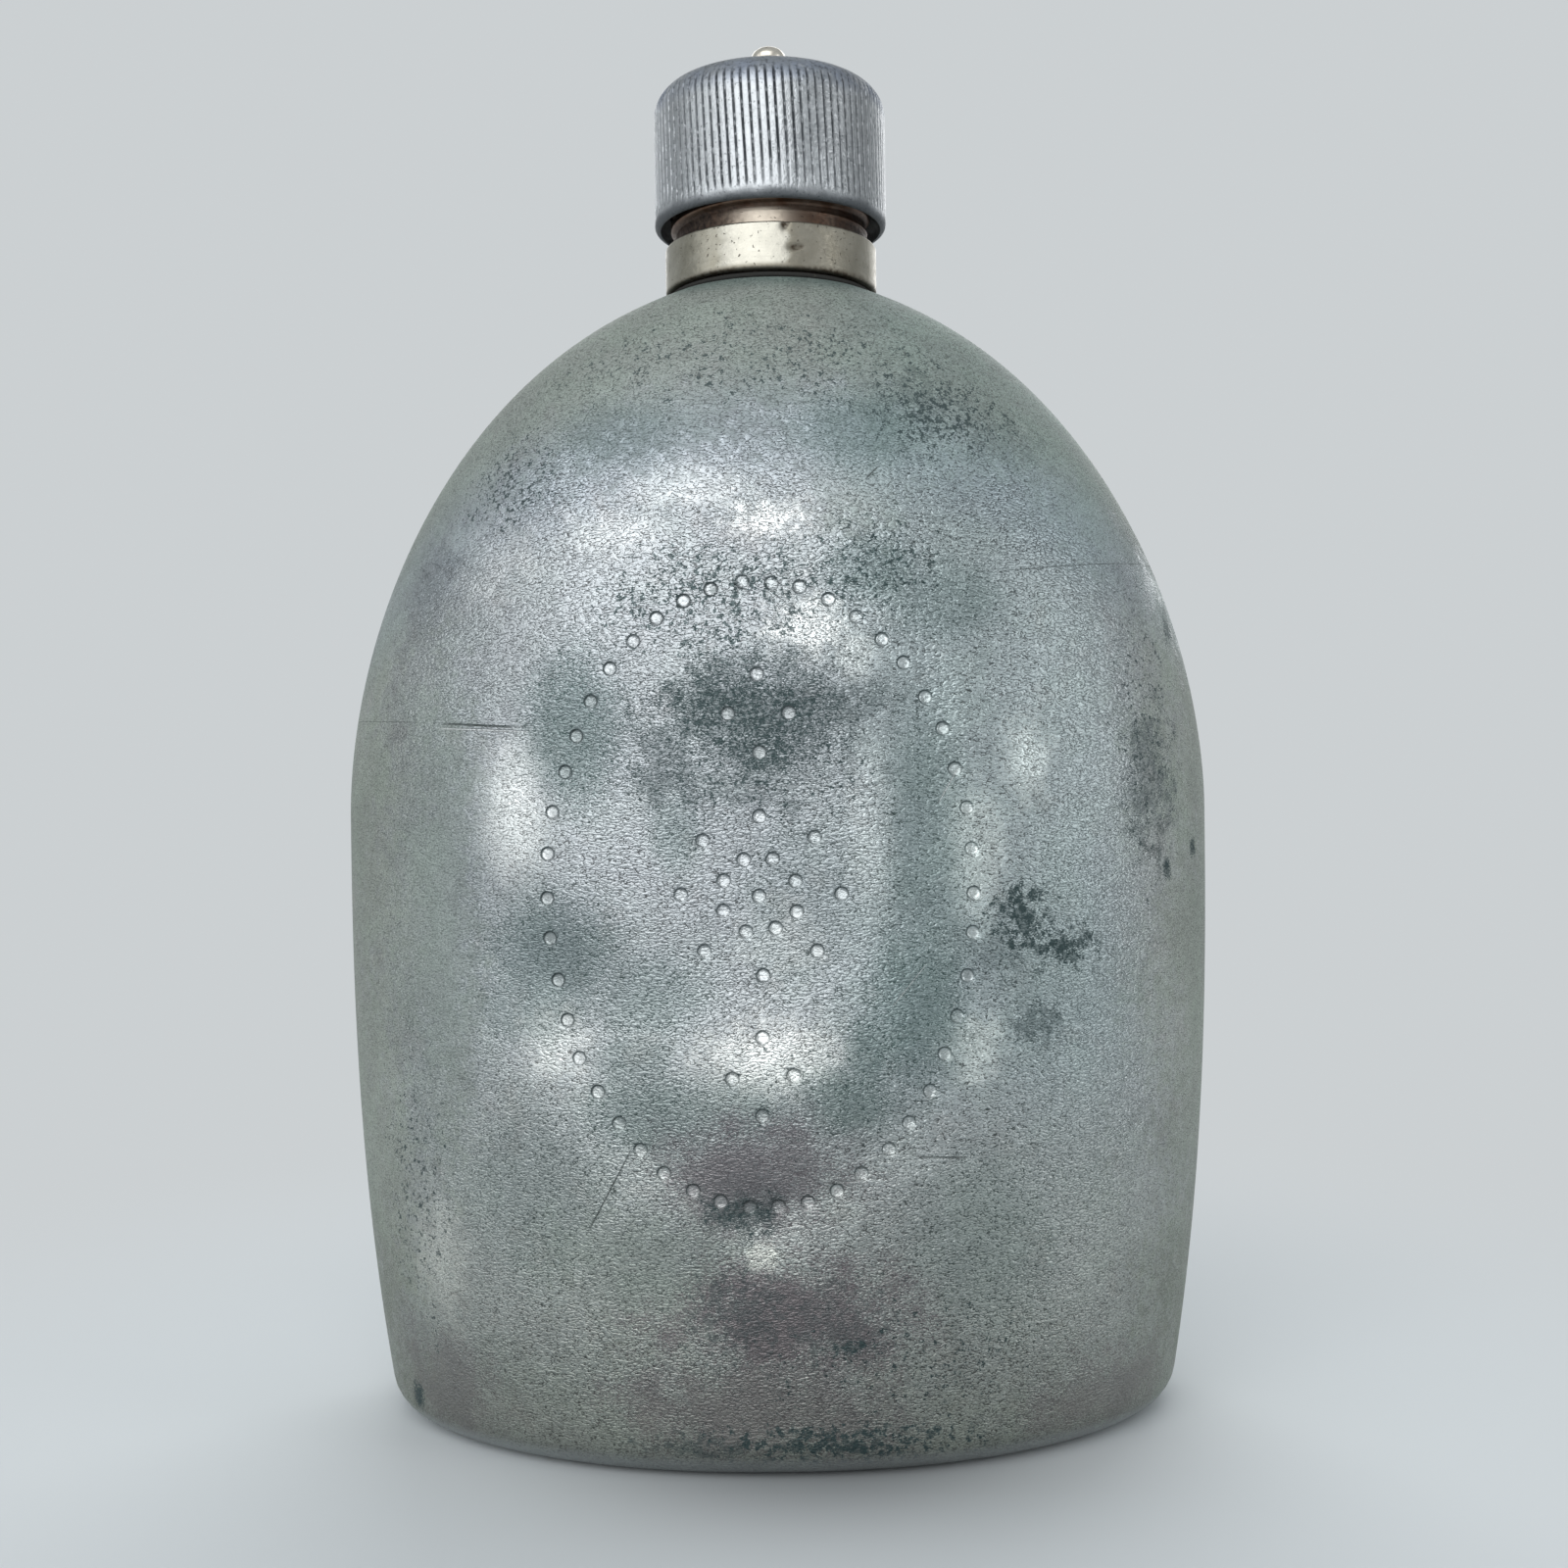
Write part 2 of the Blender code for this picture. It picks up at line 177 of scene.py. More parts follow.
class Skin:
    """A closed mesh, gathered from grids of points whose rows are rings around the Z axis.

    Rings that run up the outside, over the top and down the inside make faces that all point
    out of the material.
    """

    def __init__(self) -> None:
        """Starts with no points."""
        self.count = 0
        self.points: list[np.ndarray] = []
        self.faces: list[np.ndarray] = []
        self.masks: dict[str, list[tuple[int, np.ndarray]]] = {}
        self.first: np.ndarray | None = None
        self.last: np.ndarray | None = None

    def add_points(self, points: np.ndarray, **masks: np.ndarray | float) -> np.ndarray:
        """Adds points without faces.

        Args:
            points: Array that ends in 3 coordinates.
            **masks: Values from 0 to 1 at those points, kept as a named attribute.

        Returns:
            The points' numbers, in the array's own layout.
        """
        layout = points.shape[:-1]
        size = int(np.prod(layout))
        for name, values in masks.items():
            spread = np.broadcast_to(np.asarray(values, float), layout).ravel()
            self.masks.setdefault(name, []).append((self.count, spread))
        numbers = np.arange(self.count, self.count + size).reshape(layout)
        self.points.append(points.reshape(-1, 3).astype(float))
        self.count += size
        return numbers

    def add_grid(
        self, points: np.ndarray, holes: np.ndarray | None = None, **masks: np.ndarray | float
    ) -> np.ndarray:
        """Adds rings with the faces between them, and joins them to the last ring before.

        Args:
            points: Array of rings by columns by 3.
            holes: True where the face above and after a point is left out.
            **masks: Values from 0 to 1 at the points.

        Returns:
            The points' numbers, rings by columns.
        """
        ids = self.add_points(points, **masks)
        after = np.roll(ids, -1, axis=1)
        quads = np.stack([ids[:-1], after[:-1], after[1:], ids[1:]], axis=-1)
        self.faces.append(quads.reshape(-1, 4) if holes is None else quads[~holes])
        if self.last is None:
            self.first = ids[0]
        else:
            self.join(self.last, ids[0])
        self.last = ids[-1]
        return ids

    def add_profile(self, profile: np.ndarray, angles: np.ndarray, **masks: np.ndarray | float) -> None:
        """Adds a turned stretch: each (radius, height) pair carried once around the axis.

        Args:
            profile: Array of (radius, height) pairs.
            angles: Angles of the columns.
            **masks: Values from 0 to 1 at the points.
        """
        self.add_grid(around_axis(profile[:, 0], profile[:, 1], angles), **masks)

    def add_pole(self, height: float, y: float = 0.0) -> None:
        """Adds one point that closes the last ring, or that the next ring starts from."""
        self.add_grid(np.array([[[0.0, y, height]]]))

    def join(self, below: np.ndarray, above: np.ndarray) -> None:
        """Closes the strip between two rings, one of which may be a pole or a coarser ring.

        Args:
            below: Numbers of the ring that comes first.
            above: Numbers of the ring that comes next.
        """
        ahead = np.roll(above, -1)
        if len(below) == 1:
            strip = [np.repeat(below, len(above))[:, None], ahead[:, None], above[:, None]]
        elif len(above) == 1:
            strip = [below[:, None], np.roll(below, -1)[:, None], np.repeat(above, len(below))[:, None]]
        elif len(below) >= len(above):
            share = len(below) // len(above)
            beyond = np.roll(below, -share).reshape(-1, share)[:, :1]
            strip = [below.reshape(-1, share), beyond, ahead[:, None], above[:, None]]
        else:
            share = len(above) // len(below)
            beyond = np.roll(above, -share).reshape(-1, share)[:, :1]
            high = above.reshape(-1, share)[:, ::-1]
            strip = [below[:, None], np.roll(below, -1)[:, None], beyond, high]
        self.faces.append(np.concatenate(strip, axis=1))

    def close(self) -> None:
        """Joins the last ring to the first one."""
        self.join(self.last, self.first)

    def _make(self, name: str, sharp: float) -> bpy.types.Object:
        """Makes the mesh object at the origin, smooth-shaded, with its masks as point attributes.

        Args:
            name: Name of the piece.
            sharp: Angle in degrees past which an edge stays sharp.

        Returns:
            The new object.
        """
        mesh = bpy.data.meshes.new(name)
        faces = [face for group in self.faces for face in group.tolist()]
        mesh.from_pydata(np.concatenate(self.points).tolist(), [], faces)
        for mask, stretches in self.masks.items():
            values = np.zeros(self.count, np.float32)
            for start, part in stretches:
                values[start : start + len(part)] = part
            mesh.attributes.new(mask, "FLOAT", "POINT").data.foreach_set("value", values)
        mesh.shade_smooth()
        mesh.set_sharp_from_angle(angle=math.radians(sharp))
        piece = bpy.data.objects.new(name, mesh)
        bpy.context.scene.collection.objects.link(piece)
        return piece

    def fit(
        self,
        name: str,
        body: Body,
        node: str,
        material: Material,
        sharp: float = 40.0,
    ) -> None:
        """Makes the piece, dresses it, lets it ride on its body and stand for its CAD node.

        Args:
            name: Name of the piece.
            body: Body that carries it.
            node: CAD node that it stands for.
            material: Its finish.
            sharp: Angle in degrees past which an edge stays sharp.
        """
        piece = self._make(name, sharp)
        piece.data.materials.append(material)
        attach(piece, body.value)
        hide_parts(node)
        LOG.info("%s: %d points, %d faces", piece.name, len(piece.data.vertices), len(piece.data.polygons))


class NodeSheet:
    """Places shader nodes in one tree and links them as they are placed."""

    def __init__(self, tree: bpy.types.NodeTree) -> None:
        """Keeps the tree that the nodes go into."""
        self.tree = tree

    def feed(self, socket: Socket, value: object) -> None:
        """Links an input to another node's socket, or gives it a plain value.

        Args:
            socket: The input.
            value: Socket or plain value.
        """
        if isinstance(value, Socket):
            self.tree.links.new(value, socket)
        else:
            socket.default_value = value

    def put(self, kind: str, inputs: dict | None = None, **settings: object) -> bpy.types.Node:
        """Adds one node.

        Args:
            kind: Node type without its ShaderNode prefix.
            inputs: Values or sockets for its inputs, by name or number.
            **settings: The node's own properties.

        Returns:
            The new node.
        """
        node = self.tree.nodes.new("ShaderNode" + kind)
        for name, value in settings.items():
            setattr(node, name, value)
        for name, value in (inputs or {}).items():
            self.feed(node.inputs[name], value)
        return node

    def math(self, operation: str, *values: object) -> Socket:
        """Result of one Math node on up to three values or sockets."""
        return self.put("Math", dict(enumerate(values)), operation=operation).outputs[0]

    def times(self, *factors: object) -> Socket:
        """Product of two or more values or sockets."""
        return reduce(lambda done, factor: self.math("MULTIPLY", done, factor), factors)

    def most(self, *values: object) -> Socket:
        """Largest of two or more values or sockets."""
        return reduce(lambda done, value: self.math("MAXIMUM", done, value), values)

    def scaled(self, value: object, factor: object, offset: object) -> Socket:
        """A value times a factor plus an offset."""
        return self.math("MULTIPLY_ADD", value, factor, offset)

    def clamp(self, value: object) -> Socket:
        """A value kept between 0 and 1."""
        return self.put("Clamp", {"Value": value}).outputs[0]

    def vector(self, operation: str, *values: object) -> Socket:
        """Vector result of one Vector Math node."""
        return self.put("VectorMath", dict(enumerate(values)), operation=operation).outputs["Vector"]

    def measure(self, operation: str, *values: object) -> Socket:
        """Number that one Vector Math node gives, such as a length or a dot product."""
        return self.put("VectorMath", dict(enumerate(values)), operation=operation).outputs["Value"]

    def shade(self, base: object, factor: object) -> Socket:
        """A colour or another vector times a number."""
        return self.put("VectorMath", {0: base, "Scale": factor}, operation="SCALE").outputs["Vector"]

    def mask(self, name: str) -> Socket:
        """Value of a point attribute of the mesh."""
        return self.put("Attribute", attribute_name=name).outputs["Fac"]

    def noise(self, vector: object, scale: object, detail: float, rough: float) -> Socket:
        """Fractal noise around 0.5.

        Args:
            vector: Socket with the position.
            scale: Waves in a metre.
            detail: Number of finer layers.
            rough: Strength of each finer layer.

        Returns:
            The noise value's socket.
        """
        values = {"Vector": vector, "Scale": scale, "Detail": detail, "Roughness": rough}
        return self.put("TexNoise", values).outputs[0]

    def ramp(
        self, value: object, low: object, high: object, start: object = 0.0, end: object = 1.0
    ) -> Socket:
        """Smooth change from start to end while the value goes from low to high.

        Args:
            value: Socket to judge.
            low: Value that gives start.
            high: Value that gives end.
            start: Result up to low.
            end: Result from high on.

        Returns:
            The result's socket.
        """
        values = {"Value": value, "From Min": low, "From Max": high, "To Min": start, "To Max": end}
        return self.put("MapRange", values, interpolation_type="SMOOTHSTEP").outputs[0]

    def tint(self, base: object, colour: Colour, mask: object) -> Socket:
        """Colour that turns from a base to another one where the mask is 1.

        Args:
            base: Socket or colour underneath.
            colour: Colour on top.
            mask: Socket or number from 0 to 1.

        Returns:
            The mixed colour's socket.
        """
        under = (*base, 1.0) if isinstance(base, tuple) else base
        return self.put("Mix", {0: mask, 6: under, 7: (*colour, 1.0)}, data_type="RGBA").outputs[2]


class Effects:
    """Shader node groups that the finishes share, each made once."""

    def __init__(self) -> None:
        """Makes every group, with the defaults of its inputs."""
        self.grain = self._group("pebble_grain", self._grain, Scale=620.0, Stretch=(1.0, 1.0, 2.1))
        self.tone = self._group("cloudy_tone", self._tone, Scale=60.0, Low=0.35, High=0.65)
        self.specks = self._group("pit_specks", self._specks, Scale=1800.0, Share=0.1)
        shape = {"Centre": ORIGIN, "Radii": (0.01, 0.01, 0.01), "Breakup": 0.5, "Scale": 400.0, "Grain": 0.5}
        self.patch = self._group("soft_patch", self._patch, **shape)
        shape = {"Start": ORIGIN, "End": (0.0, 0.0, 0.01), "Width": 0.0002}
        self.scratch = self._group("scratch_line", self._scratch, **shape)
        self.lines = self._group("turning_lines", self._lines, Scale=4000.0, Squeeze=(0.02, 0.02, 1.0))

    @staticmethod
    def _group(
        name: str, maker: Callable[[NodeSheet, Sockets], Sockets], **inputs: float | Point
    ) -> bpy.types.NodeTree:
        """Makes a group that reads a place, named Vector, and puts out numbers.

        Args:
            name: Name of the group.
            maker: Method that places the nodes between its inputs and its outputs.
            **inputs: Defaults of the inputs, a triple for a vector.

        Returns:
            The node group.
        """
        tree = bpy.data.node_groups.new(name, "ShaderNodeTree")
        for label, value in {"Vector": ORIGIN, **inputs}.items():
            kind = "NodeSocketVector" if isinstance(value, tuple) else "NodeSocketFloat"
            tree.interface.new_socket(label, in_out="INPUT", socket_type=kind).default_value = value
        sheet = NodeSheet(tree)
        source = tree.nodes.new("NodeGroupInput").outputs
        results = maker(sheet, {socket.name: socket for socket in source if socket.name})
        for label in results:
            tree.interface.new_socket(label, in_out="OUTPUT", socket_type="NodeSocketFloat")
        sink = tree.nodes.new("NodeGroupOutput")
        for label, socket in results.items():
            sheet.feed(sink.inputs[label], socket)
        return tree

    @staticmethod
    def _grain(sheet: NodeSheet, given: Sockets) -> Sockets:
        """Leathery grain: rounded lands that meet in sharp creases, with finer roughness on them.

        A land's height is the distance of a stretched noise from its middle value.

        Args:
            sheet: The group's sheet.
            given: Its inputs: Vector, Scale and Stretch.

        Returns:
            Height of the lands, the creases between them and the fine noise.
        """
        place = sheet.vector("MULTIPLY", given["Vector"], given["Stretch"])
        wave = sheet.noise(place, given["Scale"], 1.0, 0.5)
        land = sheet.math("ABSOLUTE", sheet.scaled(wave, 2.0, -1.0))
        fine = sheet.noise(place, sheet.times(given["Scale"], 3.3), 2.0, 0.6)
        height = sheet.scaled(fine, 0.45, sheet.math("POWER", land, 0.7))
        return {"Height": height, "Crease": sheet.ramp(height, 0.42, 0.25), "Fine": fine}

    @staticmethod
    def _tone(sheet: NodeSheet, given: Sockets) -> Sockets:
        """Soft clouds of noise, from 0 where it is Low to 1 where it is High.

        Args:
            sheet: The group's sheet.
            given: Its inputs: Vector, Scale, Low and High.

        Returns:
            The clouds' value.
        """
        clouds = sheet.noise(given["Vector"], given["Scale"], 4.0, 0.6)
        return {"Value": sheet.ramp(clouds, given["Low"], given["High"])}

    @staticmethod
    def _specks(sheet: NodeSheet, given: Sockets) -> Sockets:
        """Small specks where a rough noise is high, more of them where Share is higher.

        Args:
            sheet: The group's sheet.
            given: Its inputs: Vector, Scale and Share.

        Returns:
            Mask of the specks.
        """
        value = sheet.noise(given["Vector"], given["Scale"], 3.0, 0.7)
        limit = sheet.math("SUBTRACT", 0.74, sheet.times(given["Share"], 0.34))
        return {"Mask": sheet.ramp(value, limit, sheet.math("ADD", limit, 0.05))}

    @staticmethod
    def _patch(sheet: NodeSheet, given: Sockets) -> Sockets:
        """A cloudy patch: 1 at its centre, 0 past its radii, broken up by noise.

        Args:
            sheet: The group's sheet.
            given: Its inputs: Vector, Centre, Radii, Breakup, Scale and Grain.

        Returns:
            Mask of the patch.
        """
        offset = sheet.vector("SUBTRACT", given["Vector"], given["Centre"])
        reach = sheet.measure("LENGTH", sheet.vector("DIVIDE", offset, given["Radii"]))
        rough = sheet.math("SUBTRACT", sheet.noise(given["Vector"], given["Scale"], 3.0, 0.65), 0.5)
        ragged = sheet.scaled(rough, sheet.times(given["Breakup"], 4.0), reach)
        ragged = sheet.scaled(sheet.math("SUBTRACT", given["Grain"], 0.5), 1.6, ragged)
        return {"Mask": sheet.ramp(ragged, 1.0, 0.35)}

    @staticmethod
    def _scratch(sheet: NodeSheet, given: Sockets) -> Sockets:
        """A fine line on the front between two points, which fades at its edge and its ends.

        A place's share of the way is its offset from the start along the line, by dot products.

        Args:
            sheet: The group's sheet.
            given: Its inputs: Vector, Start, End and Width.

        Returns:
            Mask of the line.
        """
        flat = (1.0, 0.0, 1.0)
        along = sheet.vector("MULTIPLY", sheet.vector("SUBTRACT", given["End"], given["Start"]), flat)
        offset = sheet.vector("MULTIPLY", sheet.vector("SUBTRACT", given["Vector"], given["Start"]), flat)
        part, whole = (sheet.measure("DOT_PRODUCT", way, along) for way in (offset, along))
        share = sheet.math("DIVIDE", part, whole)
        line = sheet.shade(along, sheet.clamp(share))
        reach = sheet.measure("LENGTH", sheet.vector("SUBTRACT", offset, line))
        edge = sheet.ramp(sheet.math("DIVIDE", reach, given["Width"]), 1.0, 0.3)
        ends = sheet.ramp(sheet.math("ABSOLUTE", sheet.math("SUBTRACT", share, 0.5)), 0.55, 0.3)
        depth = sheet.put("SeparateXYZ", {"Vector": given["Vector"]}).outputs["Y"]
        return {"Mask": sheet.times(edge, ends, sheet.math("LESS_THAN", depth, 0.002))}

    @staticmethod
    def _lines(sheet: NodeSheet, given: Sockets) -> Sockets:
        """Fine marks around the axis, as a lathe or a cloth leaves them.

        Args:
            sheet: The group's sheet.
            given: Its inputs: Vector, Scale and Squeeze.

        Returns:
            Height of the marks.
        """
        place = sheet.vector("MULTIPLY", given["Vector"], given["Squeeze"])
        return {"Value": sheet.noise(place, given["Scale"], 2.0, 0.6)}


class FinishSheet(NodeSheet):
    """Sheet of one finish: its Principled shader, and a colour that is covered layer by layer."""

    def __init__(self, name: str, colour: Colour) -> None:
        """Makes the material.

        Args:
            name: Name of the finish.
            colour: Colour of its lowest layer.
        """
        self.material = bpy.data.materials.new(name)
        self.material.use_nodes = True
        super().__init__(self.material.node_tree)
        self.shader = self.tree.nodes["Principled BSDF"]
        self.place = self.put("TexCoord").outputs["Object"]
        self.colour: object = colour

    def effect(self, group: bpy.types.NodeTree, **inputs: object) -> list[Socket]:
        """Places a shared effect at the piece's Object coordinates.

        Args:
            group: The effect's node group.
            **inputs: Values or sockets for its inputs.

        Returns:
            Its outputs.
        """
        return list(self.put("Group", {"Vector": self.place, **inputs}, node_tree=group).outputs)

    def cover(self, colour: Colour, mask: object) -> None:
        """Turns the colour into another one where the mask is 1."""
        self.colour = self.tint(self.colour, colour, mask)

    def dim(self, factor: object) -> None:
        """Multiplies the colour by a number."""
        self.colour = self.shade(self.colour, factor)

    def finish(self, rough: object, height: object, depth: float, metal: object = 0.0) -> Material:
        """Feeds the shader.

        Args:
            rough: Roughness.
            height: Height of the bump, from 0 to 1.
            depth: What a height of 1 is, in metres.
            metal: Metallic share.

        Returns:
            The finished material.
        """
        bump = self.put("Bump", {"Height": height, "Distance": depth, "Strength": 1.0})
        values = {"Base Color": self.colour, "Roughness": rough, "Metallic": metal, "Normal": bump.outputs[0]}
        for name, value in values.items():
            self.feed(self.shader.inputs[name], value)
        return self.material


@dataclass(frozen=True)
class Patch:
    """A cloudy patch of another colour on the body.

    The centre and radii are in millimetres, and amount is the share of the colour.
    """

    centre: Point
    radii: Point
    amount: float
    breakup: float
    scale: float

    def inputs(self) -> dict[str, object]:
        """Inputs of the patch effect, in metres."""
        centre, radii = (tuple(value * MM for value in triple) for triple in (self.centre, self.radii))
        return {"Centre": centre, "Radii": radii, "Breakup": self.breakup, "Scale": self.scale}


def patch_rows(*rows: tuple[float, ...], breakup: float = 0.5, scale: float = 400.0) -> tuple[Patch, ...]:
    """Patches from rows of numbers.

    Args:
        *rows: Centre x, y, z, radii x, y, z and amount, and where they differ breakup and scale.
        breakup: How much noise breaks up the edge where a row doesn't say.
        scale: Waves in a metre of that noise where a row doesn't say.

    Returns:
        The patches.
    """
    return tuple(Patch(row[:3], row[3:6], row[6], *(row[7:] or (breakup, scale))) for row in rows)


@dataclass(frozen=True)
class Scratch:
    """A fine line on the front: its ends as (x, z) and its half width, in millimetres."""

    start: Span
    end: Span
    width: float
    tone: float
    light: bool = False

    def inputs(self) -> dict[str, object]:
        """Inputs of the scratch effect, in metres."""
        start, end = ((x * MM, 0.0, z * MM) for x, z in (self.start, self.end))
        return {"Start": start, "End": end, "Width": self.width * MM}


# Dark stains: on the front, along the foot, on the flanks and on the back.
STAINS = patch_rows(
    (-3.5, -37, 111.5, 19, 20, 12, 0.78, 0.35, 260),
    (9, -36.5, 113.5, 12, 12, 4.5, 0.5, 0.6, 300),
    (-15, -36, 106, 9, 12, 11, 0.5, 0.5, 260),
    (-4, -37, 102, 14, 12, 5, 0.35, 0.6, 300),
    (35.5, -31, 82.5, 5.5, 8, 4.5, 0.95, 0.9, 520),
    (41.5, -28.5, 77.5, 6.5, 8, 3.5, 0.85, 1.1, 560),
    (38, -30, 66.5, 5, 8, 4, 0.5, 1.1, 560),
    (30, -33, 77, 9, 9, 6, 0.35, 0.7, 420),
    (22, -31, 159, 9, 14, 6, 0.3, 0.9, 420),
    (34, -24, 153, 9, 14, 5, 0.22, 1, 460),
    (57, -18, 102, 6, 12, 14, 0.5, 0.7, 300),
    (10, -33.5, 20, 3, 6, 1.6, 0.8, 1.1, 700),
    (-5, -35, 40.5, 7, 8, 4, 0.7, 0.6, 300),
    (-6, -34.5, 25, 8, 6, 6, 0.42, 1.5, 800),
    (8, -33, 24, 8, 6, 6, 0.34, 1.6, 800),
    (9, -32, 6, 16, 8, 2.8, 0.9, 1.4, 800),
    (-12, -32, 5.5, 10, 8, 2, 0.5, 1.2, 600),
    (-57.5, -11, 6.5, 1.6, 5, 3.4, 1, 0.3, 600),
    (60, -16, 88.3, 1, 4, 2.2, 1, 0.4, 700),
    (65.5, -9.5, 91, 1, 4, 2, 0.9, 0.4, 700),
    (62, -8, 126, 1.2, 5, 4.5, 0.6, 0.6, 500),
    (-22, 26, 60, 12, 10, 8, 0.5, 0.9, 420),
    (25, 27, 118, 8, 10, 6, 0.5, 1, 420),
    (6, 24, 22, 24, 10, 8, 0.4, 0.9, 300),
    (66, 19, 122, 6, 7, 8, 0.5, 0.9, 420),
    (-66, 21, 60, 6, 8, 9, 0.5, 0.9, 420),
    (62, 21, 30, 6, 7, 6, 0.45, 0.9, 420),
)
# Painted reflections: soft dark tones where the front mirrors dark surroundings.
SHADES = patch_rows(
    (-29.5, -33, 110.5, 11, 14, 16, 0.52, 0.1, 150),
    (-33, -32, 77, 15, 14, 13, 0.46, 0.1, 150),
    (-19, -35, 72, 14, 14, 9, 0.36),
    (-18, -35, 54.5, 15, 14, 9, 0.42),
    (-6, -36, 54.5, 16, 14, 7, 0.34),
    (9.5, -35, 56.5, 11, 14, 8, 0.5),
    (21.5, -34.5, 92, 8, 14, 31, 0.32, 0.06, 150),
    (19.5, -35, 70, 11, 14, 17, 0.46, 0.1, 150),
    (14, -35, 132.5, 10, 14, 7, 0.38),
    (10.5, -36, 70.5, 6, 12, 9, 0.2),
    (-37, -31, 69.5, 13, 14, 8, 0.36),
    (44, -27, 62, 18, 22, 40, 0.2),
    (13, -33, 153.5, 14, 16, 8, 0.36),
    (-50, -22, 82, 14, 22, 55, 0.18),
    (4, -36, 84, 12, 14, 18, 0.24),
    (-14.5, -36, 95.5, 5, 14, 8, 0.34),
    (25, -33, 128, 12, 16, 8, 0.28),
    (-23, -30, 154, 13, 16, 7, 0.3),
    (-21, -34, 62, 9, 14, 6, 0.32),
    (12.5, -35.5, 63, 5, 12, 9, 0.5),
    (-18, -34, 34, 22, 16, 12, 0.2),
    (31, -32, 36, 18, 16, 18, 0.26),
    (-36, -30, 42, 18, 18, 18, 0.24),
    breakup=0.12,
    scale=150.0,
)
# Brown discoloured areas near the foot.
BROWNS = patch_rows(
    (1, -34.3, 25, 24, 12, 11, 0.95, 0.4, 140),
    (-3, -34.3, 12, 28, 12, 12, 0.6),
    (-4, -35.5, 46, 18, 12, 11, 0.75, 0.35, 160),
    (-52, -17, 10, 14, 16, 10, 0.5),
    (48, -18, 9, 20, 16, 9, 0.5),
    breakup=0.5,
    scale=140.0,
)
# Areas of the front with a film of their own.
DULLS = patch_rows(
    (-50, -22, 84, 9, 16, 50, 0.7, 0.25, 200),
    (-21, -35, 30, 20, 16, 16, 0.35, 0.3, 200),
    (12, -34, 147, 12, 16, 14, 0.5, 0.4, 260),
)
# Bright areas on the front and along the edges of the back: worn metal with painted highlights.
BRIGHTS = patch_rows(
    (-1, -35.5, 140.5, 8.5, 12, 5, 0.75, 0.5, 400),
    (-24, -34, 139.5, 11, 14, 7, 0.32, 0.4, 300),
    (-13, -33, 145.5, 14, 14, 5, 0.45, 0.3, 260),
    (11.5, -36, 120, 4, 12, 5, 0.6, 0.3, 300),
    (4.5, -36.5, 124.5, 8.5, 12, 6, 0.75, 0.6, 400),
    (-39, -32, 99, 8, 14, 15, 0.7, 0.15, 160),
    (-52, -20, 30, 6, 14, 15, 0.45),
    (-33, -33, 64.5, 8, 12, 7, 0.5, 0.4, 300),
    (-1, -36, 63, 15, 12, 7, 0.7, 0.4, 300),
    (1, -36.5, 80, 9, 12, 7, 0.35, 0.5, 300),
    (-3, -35, 34, 3, 8, 2.6, 0.8, 0.6, 500),
    (36.5, -32, 105, 6, 12, 8, 0.6),
    (29, -33, 92, 5.5, 12, 13, 0.7, 0.3, 260),
    (13.5, -35.5, 96, 5, 12, 16, 0.3, 0.3, 260),
    (28.5, -33, 63.5, 6, 12, 6, 0.85),
    (-42, -24, 136, 10, 18, 10, 0.4),
    (47, 30, 92, 9, 9, 44, 0.3, 0.7, 260),
    (-47, 30, 88, 9, 9, 48, 0.3, 0.7, 260),
    (8, 26, 128, 22, 10, 14, 0.16, 0.7, 260),
    (67, 19, 82, 8, 8, 44, 0.3, 0.8, 260),
    (-67, 19, 78, 8, 8, 44, 0.3, 0.8, 260),
    breakup=0.4,
    scale=260.0,
)
# Areas with thick dark specks.
PEPPERS = patch_rows(
    (-8, -36, 129, 26, 16, 14, 0.66),
    (14, -35, 133, 17, 16, 14, 0.58),
    (-2, -36, 104, 28, 16, 14, 0.5),
    (8, -35, 60, 26, 16, 16, 0.35),
    (0, -20, 164, 50, 30, 13, 0.54),
    (25, -26, 156, 18, 18, 10, 0.68),
    (-38, -22, 147, 15, 18, 14, 0.6),
    (56, -18, 110, 10, 18, 36, 0.5, 0.4, 200),
    (-56, -16, 40, 10, 18, 32, 0.52, 0.4, 200),
    (20, -30, 18, 40, 18, 12, 0.48, 0.4, 200),
    breakup=0.3,
    scale=200.0,
)
# Scratches of the front, dark or light.
SCRATCHES = (
    Scratch((-50.5, 111.6), (-37.5, 110.7), 0.20, 0.9),
    Scratch((-70.0, 112.9), (-54.0, 111.9), 0.07, 0.35),
    Scratch((31.0, 132.4), (63.0, 136.4), 0.09, 0.5),
    Scratch((26.6, 104.4), (23.3, 98.8), 0.12, 0.6, True),
    Scratch((-51.0, 110.9), (-36.0, 110.0), 0.22, 0.5, True),
    Scratch((-21.5, 49.5), (-28.5, 36.5), 0.12, 0.7),
    Scratch((18.8, 48.0), (27.5, 47.4), 0.16, 0.6),
    Scratch((16.0, 69.5), (21.5, 76.0), 0.09, 0.5, True),
    Scratch((13.5, 146.0), (15.5, 148.0), 0.12, 0.9),
)


